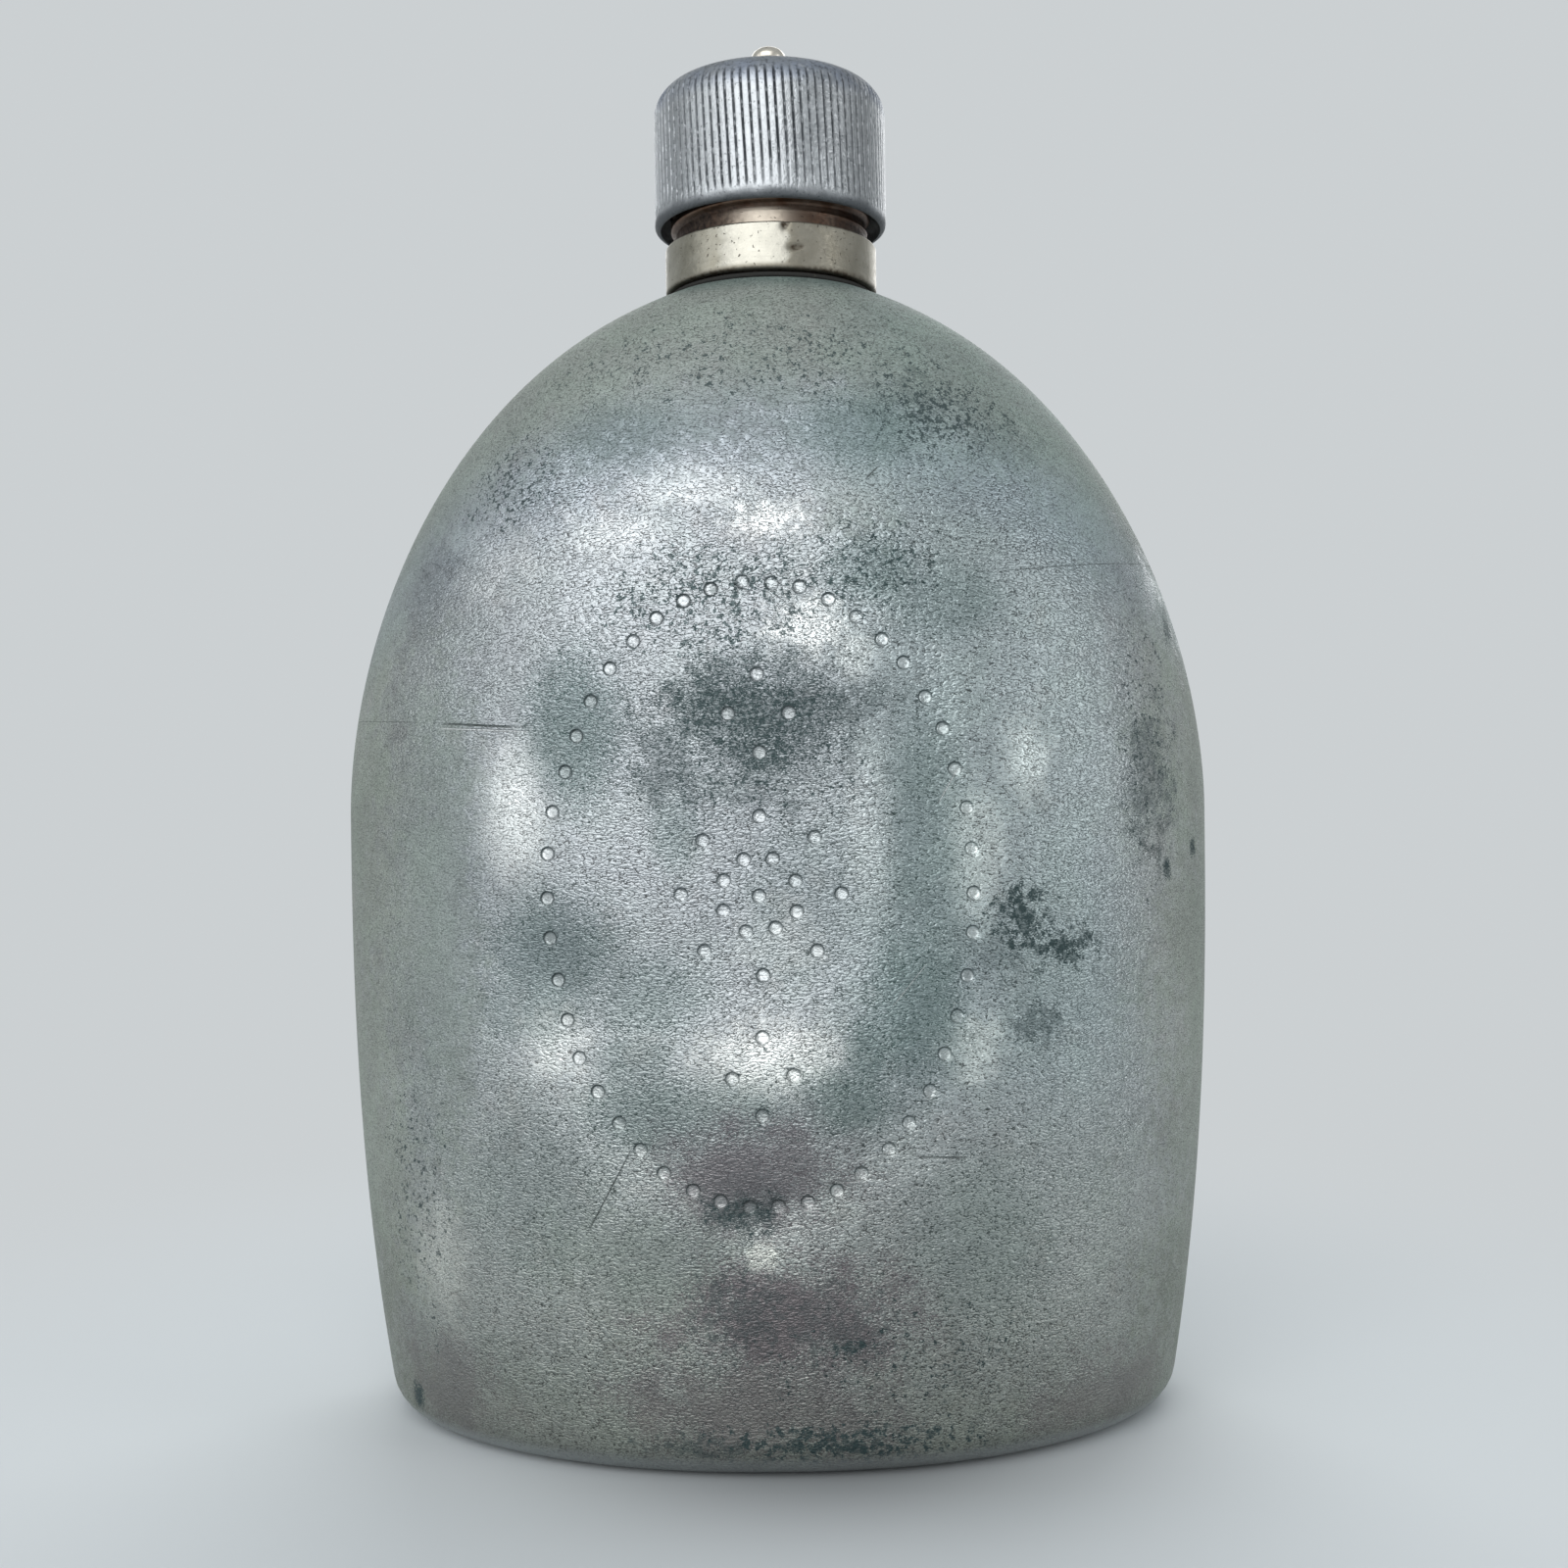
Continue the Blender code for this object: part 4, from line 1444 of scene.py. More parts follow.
    def settle_grid(self, grid: np.ndarray, angles: np.ndarray) -> tuple[np.ndarray, np.ndarray]:
        """Draws the grid along the front until one of its points lies on each dot.

        Each dot moves what is round it by its offset from the nearest point, times exp of
        minus the fourth power of the distance over the reach.

        Args:
            grid: Points of the outer face, rows by columns.
            angles: Angle of each column.

        Returns:
            The drawn grid, and the row and column of each dot's point.
        """
        facing = np.where(np.sin(angles) < -0.2, 0.0, 1.0)[None, :]
        drawn = grid.copy()
        pull = np.zeros(grid.shape[:2])
        taken: list[tuple[int, int]] = []
        for x, z in self.dots.places():
            gap = (grid[..., 0] - x) ** 2 + (grid[..., 2] - z) ** 2 + facing
            row, column = (int(k) for k in np.unravel_index(np.argmin(gap), gap.shape))
            if any(max(abs(row - r), abs(column - c)) < 2 for r, c in taken):
                continue
            taken.append((row, column))
            weight = np.exp(-((gap / self.dots.reach**2) ** 2))
            drawn[..., 0] += weight * (x - grid[row, column, 0])
            drawn[..., 2] += weight * (z - grid[row, column, 2])
            pull += weight
        moved = pull > 1e-4
        drawn[moved] = self.front_point(drawn[moved][:, 0], drawn[moved][:, 2], 0.0)
        return drawn, np.array(taken).T

    def stamp_dots(self, skin: Skin, grid: np.ndarray, angles: np.ndarray) -> None:
        """Adds the outer grid with the punched dots let into it.

        Each dot takes the place of the four faces around its grid point: rings of 16 points
        step down from the face to a flat, slightly tilted floor, whose middle is that point.

        Args:
            skin: Mesh in the making.
            grid: Points of the outer face, rows by columns.
            angles: Angle of each column.
        """
        rows, columns = grid.shape[:2]
        grid, (row, column) = self.settle_grid(grid, angles)
        x, z = grid[row, column, 0], grid[row, column, 2]
        grid[row, column] = self.front_point(x, z, self.dot_depth)
        floor = np.zeros((rows, columns))
        floor[row, column] = 0.7
        holes = np.zeros((rows - 1, columns), bool)
        for up, along in ((-1, -1), (-1, 0), (0, -1), (0, 0)):
            holes[row + up, (column + along) % columns] = True
        ids = skin.add_grid(grid, holes=holes, dot=floor)

        up = np.array([-1, -1, -1, 0, 1, 1, 1, 0])
        along = np.array([-1, 0, 1, 1, 1, 0, -1, -1])
        outline = ids[row[:, None] + up, (column[:, None] + along) % columns]
        turn = np.radians(-135.0 + 22.5 * np.arange(16))
        radii, depths, inside, edge = (share[:, None] for share in DOT_RINGS.T)
        side_x = radii * self.dot_radius * np.cos(turn)
        side_z = radii * self.dot_radius * np.sin(turn)
        tilt = self.dot_tilt * inside * (side_z - 0.5 * side_x)
        depth = depths * self.dot_depth + tilt
        points = self.front_point(x[:, None, None] + side_x, z[:, None, None] + side_z, depth)
        # The rim's darkness is painted shade in the dot's wall, darkest on its upper left side.
        edge = edge * (0.55 + 0.45 * np.sin(turn - 0.7))
        wear = np.random.default_rng(9).uniform(0.35, 1.0, len(row))[:, None, None]
        rings = skin.add_points(points, dot=inside * wear, rim=edge * (0.4 + 0.6 * wear))
        for dot in range(len(row)):
            skin.join(outline[dot], rings[dot, 0])
            for ring in range(len(radii) - 1):
                skin.join(rings[dot, ring], rings[dot, ring + 1])
            skin.join(rings[dot, -1], ids[row[dot], column[dot]][None])

    def build(self, effects: Effects) -> None:
        """Builds and dresses the shell: underside, outside, neck, inside and inner floor.

        Args:
            effects: The shared node groups.
        """
        angles = self.column_angles()
        height, inset = self._rows()
        outer = self.outer_grid(height, inset, angles)
        shares = np.array(self.floor_shares)
        skin = Skin()
        skin.add_pole(self.base_hollow, self.floor_middle)
        skin.add_grid(self._floor(outer[0], shares, 0.0))
        self.stamp_dots(skin, outer, angles)
        skin.add_profile(self._neck_profile(), angles[::2])

        corner = self.corner_rows
        rows = np.concatenate([np.arange(0, corner, 2), np.arange(corner, len(height) - 4, 2)])
        inner = (outer - self.wall * self._normals(outer))[rows][::-1, ::2]
        skin.add_grid(inner)
        skin.add_grid(self._floor(inner[-1], shares[::-1], self.wall))
        skin.add_pole(self.wall + self.base_hollow, self.floor_middle)
        skin.fit("bottle_body", Body.CANTEEN, "body_shell", self.finish.material(effects), 50.0)

    def _rows(self) -> tuple[np.ndarray, np.ndarray]:
        """Heights of the outer face's rows: around the base corner, up the wall, over the dome.

        Returns:
            Height of each row, and what it is drawn in by at the corner.
        """
        turn = np.linspace(0.0, QUARTER, self.corner_rows + 1)
        corner_z = self.corner_radius * (1.0 - np.cos(turn))
        corner_in = self.corner_radius * (1.0 - np.sin(turn))
        wall_z = np.linspace(self.corner_radius, self.widest_height, self.wall_rows + 1)[1:]
        rise = np.sin(np.linspace(0.0, QUARTER, self.dome_rows + 1)[1:])
        dome_z = self.widest_height + (self.shoulder_height - self.widest_height) * rise
        height = np.concatenate([corner_z, wall_z, dome_z])
        return height, np.concatenate([corner_in, np.zeros(len(wall_z) + len(dome_z))])

    def _floor(self, edge: np.ndarray, shares: np.ndarray, height: float) -> np.ndarray:
        """Rings of a hollow floor: its edge drawn in to each share around the floor's middle.

        Args:
            edge: Points of the ring around the floor.
            shares: Share of each ring.
            height: Height of the floor at its edge.

        Returns:
            Array of rings by columns by 3.
        """
        middle = np.array([0.0, self.floor_middle, 0.0])
        rings = middle + (edge - middle) * shares[:, None, None]
        rings[..., 2] = height + self.base_hollow * ease(shares[:, None], 0.93, 0.7)
        return rings

    def _neck_profile(self) -> np.ndarray:
        """Profile of the neck: up its outside, over the rolled lip and down its inside.

        Returns:
            Array of (radius, height) pairs.
        """
        seat, top, throat = self.shoulder_height, self.lip_top, self.neck_radius
        inside = throat - self.wall
        flare, lip, edge, bend = 0.5 * MM, 0.6 * MM, 0.4 * MM, 1.5 * MM
        return np.concatenate([
            [[self.seat_radius - 1.5 * MM, seat]],
            arc((throat + flare, seat + flare), flare, -90.0, -180.0, 3),
            pairs(throat, np.linspace(181.0 * MM, top - 1.5 * MM, 8)),
            [[throat + 0.3 * MM, top - 2.0 * lip]],
            arc((self.lip_radius - lip, top - lip), lip, -90.0, 90.0, 8),
            arc((inside + edge, top - edge), edge, 90.0, 180.0, 4),
            pairs(inside, np.array([200.0, 190.0, 179.2]) * MM),
            arc((throat + 0.3 * MM, 179.2 * MM), bend, 180.0, 250.0, 3),
        ])

    @staticmethod
    def _normals(grid: np.ndarray) -> np.ndarray:
        """Unit normals of a closed grid: the cross product of its steps along and up.

        Args:
            grid: Points, rows by columns.

        Returns:
            Array like the grid.
        """
        along = np.roll(grid, -1, axis=1) - np.roll(grid, 1, axis=1)
        up = np.gradient(grid, axis=0)
        normal = np.cross(along, up)
        return normal / np.linalg.norm(normal, axis=-1, keepdims=True)


def rolled_thread(height: np.ndarray, angles: np.ndarray) -> np.ndarray:
    """Height of the right-hand thread of sleeve and cap, from 0 in its root to 1 on its crest.

    It is half of 1 minus the cosine of a full turn times the height less the rise around
    the axis, over the pitch.

    Args:
        height: Heights of the rows.
        angles: Angles of the columns.

    Returns:
        Array of rows by columns.
    """
    turns = height[:, None] / THREAD_PITCH - angles[None, :] / TURN
    wave = 0.5 - 0.5 * np.cos(TURN * turns)
    return ease(wave, 0.08, 0.92)


@dataclass(frozen=True)
class Nick:
    """A small dent of the band, filled with dirt.

    Its place is an angle from the front, and its height, reaches and depth are in millimetres.
    """

    place: float
    height: float
    across: float
    up: float
    depth: float
    dirt: float


NICKS = (
    Nick(0.36, 187.6, 0.5, 0.4, 0.16, 0.4),
    Nick(0.14, 188.2, 0.6, 0.9, 0.30, 2.4),
    Nick(0.24, 184.5, 1.2, 0.5, 0.22, 1.6),
    Nick(-1.1, 185.0, 2.0, 1.4, 0.10, 0.0),
    Nick(1.0, 183.0, 2.4, 1.2, 0.12, 0.3),
    Nick(2.6, 186.0, 2.2, 1.5, 0.12, 0.0),
)


@dataclass
class NeckFittings:
    """What is slipped over the neck tube: the seal, the threaded sleeve and its band."""

    bore: float = 14.5 * MM
    foot_radius: float = 15.3 * MM
    thread_depth: float = 0.9 * MM
    thread_from: Span = (190.3 * MM, 191.5 * MM)
    thread_to: Span = (208.1 * MM, 206.6 * MM)
    sleeve_base: float = 181.2 * MM
    sleeve_top: float = 208.5 * MM
    thread_rows: int = 112
    worn_highlight_place: float = -0.10
    worn_highlight_reach: float = 0.34
    worn_highlight_to: Span = (191.6 * MM, 190.7 * MM)
    band_top: float = 188.5 * MM
    band_bore: float = 15.6 * MM
    band_radius: float = 17.1 * MM
    band_edge: float = 0.4 * MM
    band_rows: int = 26
    seal_radius: float = 16.6 * MM
    seal_base: float = 180.0 * MM
    seal_top: float = 180.9 * MM
    columns: int = 180
    nickel: PlateFinish = PlateFinish(
        "worn_nickel", (0.34, 0.322, 0.262), (0.57, 0.555, 0.49), (0.05, 0.036, 0.022), 0.27, 0.35, 0.02 * MM
    )
    brass: PlateFinish = PlateFinish(
        "tarnished_brass", (0.105, 0.050, 0.027), (0.86, 0.79, 0.67), (0.010, 0.006, 0.005), 0.24, 0.14
    )
    rubber: SoftFinish = SoftFinish(
        "black_seal", (0.018, 0.018, 0.016), (0.05, 0.048, 0.04), 1200.0, 0.3, 0.8, 0.05 * MM
    )

    def build(self, effects: Effects) -> None:
        """Builds and dresses the three pieces.

        Args:
            effects: The shared node groups.
        """
        self._build_seal(self.rubber.material(effects))
        self._build_sleeve(self.brass.material(effects))
        self._build_band(self.nickel.material(effects))

    def _build_seal(self, rubber: Material) -> None:
        """The seal: a washer with a pressed-out edge, half an ellipse in section.

        Args:
            rubber: Its finish.
        """
        turn = np.linspace(-QUARTER, QUARTER, 9)
        middle, half = (self.seal_base + self.seal_top) / 2.0, (self.seal_top - self.seal_base) / 2.0
        edge = pairs(self.seal_radius - half + half * np.cos(turn), middle + half * np.sin(turn))
        profile = np.concatenate([[[self.bore, self.seal_base]], edge, [[self.bore, self.seal_top]]])
        skin = Skin()
        skin.add_profile(profile, even_angles(self.columns))
        skin.close()
        skin.fit("neck_seal_washer", Body.CANTEEN, "neck_seal", rubber)

    def _build_sleeve(self, brass: Material) -> None:
        """The sleeve: a plain foot under the band, then the rolled thread up to the lip.

        Args:
            brass: Its finish.
        """
        angles = even_angles(self.columns)
        height = np.linspace(self.band_top + 0.3 * MM, self.sleeve_top - 0.4 * MM, self.thread_rows)
        fade = ease(height, *self.thread_from) * ease(height, *self.thread_to)
        crest = rolled_thread(height, angles) * fade[:, None]
        radius = self.foot_radius + self.thread_depth * crest
        # Worn plate with a painted highlight at the front of the sleeve.
        reach = (from_front(angles) - self.worn_highlight_place) / self.worn_highlight_reach
        rubbed = 0.95 * np.exp(-(reach**2))[None, :] * (0.7 + 0.3 * crest)
        rubbed = rubbed * ease(height, *self.worn_highlight_to)[:, None]
        shade = (1.0 - crest) * (0.7 + 0.25 * np.cos(angles[None, :] * 3.0 + 1.0)) * (1.0 - rubbed)
        skin = Skin()
        skin.add_profile(pairs(np.array([self.bore, self.foot_radius]), self.sleeve_base), angles)
        skin.add_grid(around_axis(radius, height, angles), edge=shade, rubbed=rubbed)
        skin.add_profile(pairs(np.array([self.foot_radius - 0.1 * MM, self.bore]), self.sleeve_top), angles)
        skin.close()
        skin.fit("threaded_sleeve", Body.CANTEEN, "neck_ferrule", brass)

    def _build_band(self, nickel: Material) -> None:
        """The band: rounded edges and small nicks, worn with a painted highlight in front, tarnished along
        its foot and darker on its right side with painted shade and tarnish.

        Args:
            nickel: Its finish.
        """
        angles = even_angles(self.columns * 2)
        base, edge = self.sleeve_base, self.band_edge
        profile = np.concatenate([
            [[self.band_bore, base]],
            arc((self.band_radius - edge, base + edge), edge, -90.0, -10.0, 4),
            pairs(self.band_radius, np.linspace(base + edge, self.band_top - edge, self.band_rows)),
            arc((self.band_radius - edge, self.band_top - edge), edge, 10.0, 90.0, 4),
            [[self.band_bore, self.band_top]],
        ])
        radius = np.repeat(profile[:, :1], len(angles), axis=1)
        height = profile[:, 1:]
        run = from_front(angles)
        low = ease(height, base + (1.1 + 0.5 * np.sin(run)) * MM, base) * (0.8 + 0.2 * np.sin(angles * 5.0))
        for nick in NICKS:
            across = (run - nick.place) * self.band_radius / (nick.across * MM)
            up = (height - nick.height * MM) / (nick.up * MM) - 0.4 * across
            share = np.exp(-(across**2) - up**2)
            radius = radius - nick.depth * MM * share * (height > base + 0.2 * MM)
            low = np.minimum(low + nick.dirt * share, 1.0)
        # Worn plate with a painted highlight at the front, left of the middle.
        slant = run + 0.02 * np.sin((height - base) / MM * 2.3)
        rubbed = 0.85 * ease(slant, -0.56, -0.40) * ease(slant, 0.19, 0.13)
        rubbed = rubbed * ease(height, base + 0.3 * MM, base + 1.2 * MM)
        # Painted shade on the right side of the band, with tarnish.
        low = np.maximum(low, 0.36 * ease(slant, 0.13, 0.20) * ease(run, 1.7, 0.9))
        skin = Skin()
        skin.add_grid(around_axis(radius, height[:, 0], angles), edge=low, rubbed=rubbed)
        skin.close()
        skin.fit("neck_band", Body.CANTEEN, "collar_band", nickel)


@dataclass(frozen=True)
class WornPlace:
    """A place where hands have worn the flutes.

    Its place and its reach across are angles, its height and its reach up are in millimetres,
    and share is how much of the flutes is gone.
    """

    place: float
    height: float
    across: float
    up: float
    share: float


WORN_PLACES = (
    WornPlace(0.05, 194.8, 0.22, 2.6, 0.75),
    WornPlace(0.62, 196.5, 0.30, 4.0, 0.55),
    WornPlace(-1.30, 204.0, 0.30, 9.0, 0.30),
    WornPlace(2.40, 197.0, 0.40, 4.0, 0.60),
)


@dataclass
class ScrewCap:
    """The fluted screw cap with its cork gasket."""

    radius: float = 18.75 * MM
    rim: float = 191.7 * MM
    top: float = 214.7 * MM
    ceiling: float = 212.4 * MM
    shoulder: float = 5.0 * MM
    crown: float = 2.2 * MM
    rim_radius: float = 0.8 * MM
    rim_bore: float = 17.65 * MM
    bore: float = 16.55 * MM
    thread_depth: float = 0.9 * MM
    hole: float = 1.8 * MM
    recess: float = 6.5 * MM
    flutes: int = 90
    flute_depth: float = 0.36 * MM
    flute_steps: tuple[float, ...] = (0.0, 0.18, 0.33, 0.42, 0.50, 0.58, 0.67, 0.82)
    lean: float = math.radians(3.0)
    lean_middle: float = 202.0 * MM
    thread_foot: Span = (194.4 * MM, 195.8 * MM)
    bore_rows: int = 96
    skirt_rows: int = 30
    gasket_radius: float = 16.25 * MM
    gasket_base: float = 210.3 * MM
    gasket_top: float = 212.1 * MM
    print_inside: Span = (12.6 * MM, 13.2 * MM)
    print_outside: Span = (15.5 * MM, 15.1 * MM)
    print_depth: float = 0.28 * MM
    gasket_edge: float = 0.3 * MM
    gasket_rows: int = 60
    gasket_columns: int = 96
    finish: CapFinish = CapFinish()
    cork: SoftFinish = SoftFinish("cork", (0.50, 0.34, 0.20), (0.20, 0.11, 0.06), 700.0, 0.4, 0.85, 0.15 * MM)

    def build(self, effects: Effects) -> None:
        """Builds and dresses the cap and its gasket.

        Args:
            effects: The shared node groups.
        """
        skin = Skin()
        columns = self._add_skirt(skin)
        self._add_crown(skin, columns)
        self._add_bore(skin, columns)
        skin.close()
        skin.fit("fluted_cap", Body.CAP, "cap_shell", self.finish.material(effects), 50.0)
        self._build_gasket(self.cork.material(effects))

    def flute_wear(self, angles: np.ndarray, height: np.ndarray) -> np.ndarray:
        """How much of the flutes is left, from 0 where they are worn away to 1.

        They run out near the rim and into the shoulder, and hands have worn some places.

        Args:
            angles: Angles of the points.
            height: Heights of the points.

        Returns:
            Array like the heights.
        """
        run = from_front(angles)
        left = ease(height, self.rim + 1.6 * MM, self.rim + 2.8 * MM)
        left = left * ease(height, self.top - 2.4 * MM, self.top - 3.8 * MM)
        for worn in WORN_PLACES:
            reach = ((run - worn.place) / worn.across) ** 2
            reach = reach + ((height - worn.height * MM) / (worn.up * MM)) ** 2
            left = left * (1.0 - worn.share * np.exp(-reach))
        return left

    def _add_skirt(self, skin: Skin) -> np.ndarray:
        """Adds the rim, the fluted skirt and the shoulder, whose flutes lean a little.

        Args:
            skin: Mesh in the making.

        Returns:
            Angles of the columns that go on over the crown, one in four.
        """
        across = np.array(self.flute_steps)
        groove = np.tile(ease(np.abs(across - 0.5), 0.19, 0.05), self.flutes)
        start = (np.arange(self.flutes)[:, None] + across).ravel() * TURN / self.flutes
        jitter = np.repeat(np.random.default_rng(11).uniform(0.75, 1.0, self.flutes), len(across))
        edge, bend = self.rim_radius, self.shoulder
        skirt_z = np.linspace(self.rim + edge, self.top - bend, self.skirt_rows)[1:-1]
        profile = np.concatenate([
            arc((self.radius - edge, self.rim + edge), edge, -90.0, 0.0, 6),
            pairs(self.radius, skirt_z),
            arc((self.radius - bend, self.top - bend), bend, 0.0, 78.0, 15),
        ])
        radius, height = profile[:, :1], profile[:, 1:]
        angles = start - math.tan(self.lean) * (height - self.lean_middle) / self.radius
        depth = groove * (self.flute_wear(angles, height) * jitter)
        grid = around_axis(radius - self.flute_depth * depth, profile[:, 1], angles)
        skin.add_grid(grid, groove=np.sqrt(depth))
        return angles[-1, ::4]

    def _add_crown(self, skin: Skin, columns: np.ndarray) -> None:
        """Adds the domed crown with its hole, then the recess and the ceiling under it.

        The dome falls off with the square of the share of its radius.

        Args:
            skin: Mesh in the making.
            columns: Angles of the columns.
        """
        flat = self.radius - self.shoulder
        ring = np.linspace(flat, self.hole + 0.3 * MM, 10)[1:]
        high = self.top + self.crown * (1.0 - (self.hole / flat) ** 2)
        profile = np.concatenate([
            arc((flat, self.top - self.shoulder), self.shoulder, 82.0, 90.0, 2),
            pairs(ring, self.top + self.crown * (1.0 - (ring / flat) ** 2)),
            [[self.hole, high - 0.25 * MM], [self.hole, self.top], [self.recess, self.top]],
            [[self.recess, self.ceiling], [self.bore, self.ceiling]],
        ])
        skin.add_profile(profile, columns)

    def _add_bore(self, skin: Skin, columns: np.ndarray) -> None:
        """Adds the threaded bore and the plain inside of the rim.

        Args:
            skin: Mesh in the making.
            columns: Angles of the columns.
        """
        low, edge = self.rim + 1.6 * MM, 0.2 * MM
        height = np.linspace(self.ceiling - 0.4 * MM, low + self.rim_bore - self.bore, self.bore_rows)
        fade = ease(height, self.ceiling - 0.6 * MM, self.ceiling - 2.4 * MM)
        fade = fade * ease(height, *self.thread_foot)
        radius = self.bore - self.thread_depth * (1.0 - rolled_thread(height, columns)) * fade[:, None]
        skin.add_grid(around_axis(radius, height, columns), inside=1.0)
        inside = [[self.rim_bore, low], [self.rim_bore, self.rim + edge], [self.rim_bore + edge, self.rim]]
        skin.add_profile(np.array(inside), columns, inside=1.0)
        middle = (self.rim_bore + (self.radius - self.rim_radius)) / 2.0
        skin.add_profile(np.array([[middle, self.rim]]), columns)

    def _build_gasket(self, cork: Material) -> None:
        """The gasket: a cork disc with the ring that the lip has pressed into it.

        Args:
            cork: Its finish.
        """
        edge, rim = self.gasket_edge, self.gasket_radius - self.gasket_edge
        ring = np.linspace(0.6 * MM, rim, self.gasket_rows)
        pressed = self.print_depth * ease(ring, *self.print_inside) * ease(ring, *self.print_outside)
        profile = np.concatenate([
            pairs(ring, self.gasket_base + pressed),
            arc((rim, self.gasket_base + edge), edge, -80.0, 0.0, 4),
            arc((rim, self.gasket_top - edge), edge, 0.0, 90.0, 4),
            pairs(np.linspace(15.0, 0.6, 8) * MM, self.gasket_top),
        ])
        skin = Skin()
        skin.add_pole(self.gasket_base)
        skin.add_profile(profile, even_angles(self.gasket_columns))
        skin.add_pole(self.gasket_top)
        skin.fit("cork_gasket", Body.CAP, "cap_gasket", cork)


@dataclass
class SwivelStud:
    """The stud in the cap's crown that a chain would hook on, with its washer inside."""

    shank: float = 1.5 * MM
    collar: float = 2.4 * MM
    waist: float = 1.6 * MM
    head: float = 2.8 * MM
    tail: float = 2.3 * MM
    tail_low: float = 212.9 * MM
    tail_top: float = 213.5 * MM
    collar_base: float = 217.2 * MM
    collar_top: float = 217.9 * MM
    head_base: float = 219.3 * MM
    dome_base: float = 219.9 * MM
    dome_top: float = 221.8 * MM
    washer_bore: float = 1.8 * MM
    washer_radius: float = 4.4 * MM
    washer_base: float = 213.8 * MM
    washer_top: float = 214.4 * MM
    edge: float = 0.3 * MM
    collar_edge: float = 0.2 * MM
    waist_flare: float = 0.35 * MM
    columns: int = 64
    nickel: PlateFinish = PlateFinish(
        "stud_nickel", (0.76, 0.72, 0.64), (0.56, 0.50, 0.41), (0.12, 0.08, 0.05), 0.22, 0.3
    )

    def build(self, effects: Effects) -> None:
        """Builds and dresses the stud and its washer.

        Args:
            effects: The shared node groups.
        """
        nickel = self.nickel.material(effects)
        self._build_stud(nickel)
        self._build_washer(nickel)

    def _build_stud(self, nickel: Material) -> None:
        """The stud: riveted tail, shank, collar, waist that flares at both ends, domed head.

        The waist widens with the fourth power of the distance from its middle, and the dome is
        a quarter of an ellipse.

        Args:
            nickel: Its finish.
        """
        edge, lip = self.edge, self.collar_edge
        turn = np.linspace(0.0, QUARTER, 13)[:-1]
        dome_height = self.dome_top - self.dome_base
        dome = pairs(self.head * np.cos(turn), self.dome_base + dome_height * np.sin(turn))
        waist = np.linspace(0.0, 1.0, 9)
        neck = self.waist + self.waist_flare * (2.0 * waist - 1.0) ** 4
        profile = np.concatenate([
            [[0.6 * MM, self.tail_low], [self.shank, self.tail_low + 0.03 * MM]],
            arc((self.tail - edge, self.tail_top - edge), edge, -70.0, 90.0, 6),
            pairs(self.shank, np.array([self.tail_top, self.collar_base])),
            [[self.collar - lip, self.collar_base]],
            arc((self.collar - lip, self.collar_base + lip), lip, -60.0, 0.0, 3),
            arc((self.collar - lip, self.collar_top - lip), lip, 0.0, 90.0, 4),
            pairs(neck, self.collar_top + (self.head_base - self.collar_top) * waist),
            arc((self.head - edge, self.head_base + edge), edge, -90.0, 0.0, 4),
            dome,
        ])
        dirt = ease(profile[:, 1], self.head_base + 0.2 * MM, self.collar_top)[:, None]
        skin = Skin()
        skin.add_pole(self.tail_low)
        skin.add_profile(profile, even_angles(self.columns), edge=dirt)
        skin.add_pole(self.dome_top)
        skin.fit("swivel_stud", Body.STUD, "chain_stud", nickel)

    def _build_washer(self, nickel: Material) -> None:
        """The washer under the tail, with a round edge.

        Args:
            nickel: Its finish.
        """
        half = (self.washer_top - self.washer_base) / 2.0
        outside = arc((self.washer_radius - half, self.washer_base + half), half, -90.0, 90.0, 8)
        inside = pairs(self.washer_bore, np.array([self.washer_top, self.washer_base]))
        skin = Skin()
        skin.add_profile(np.concatenate([outside, inside]), even_angles(self.columns))
        skin.close()
        skin.fit("rivet_washer", Body.STUD, "stud_washer", nickel)


@dataclass(frozen=True)
class Lamp:
    """A soft white lamp: its place, the size of its face and its power in watts."""

    name: str
    place: Point
    size: Span
    power: float


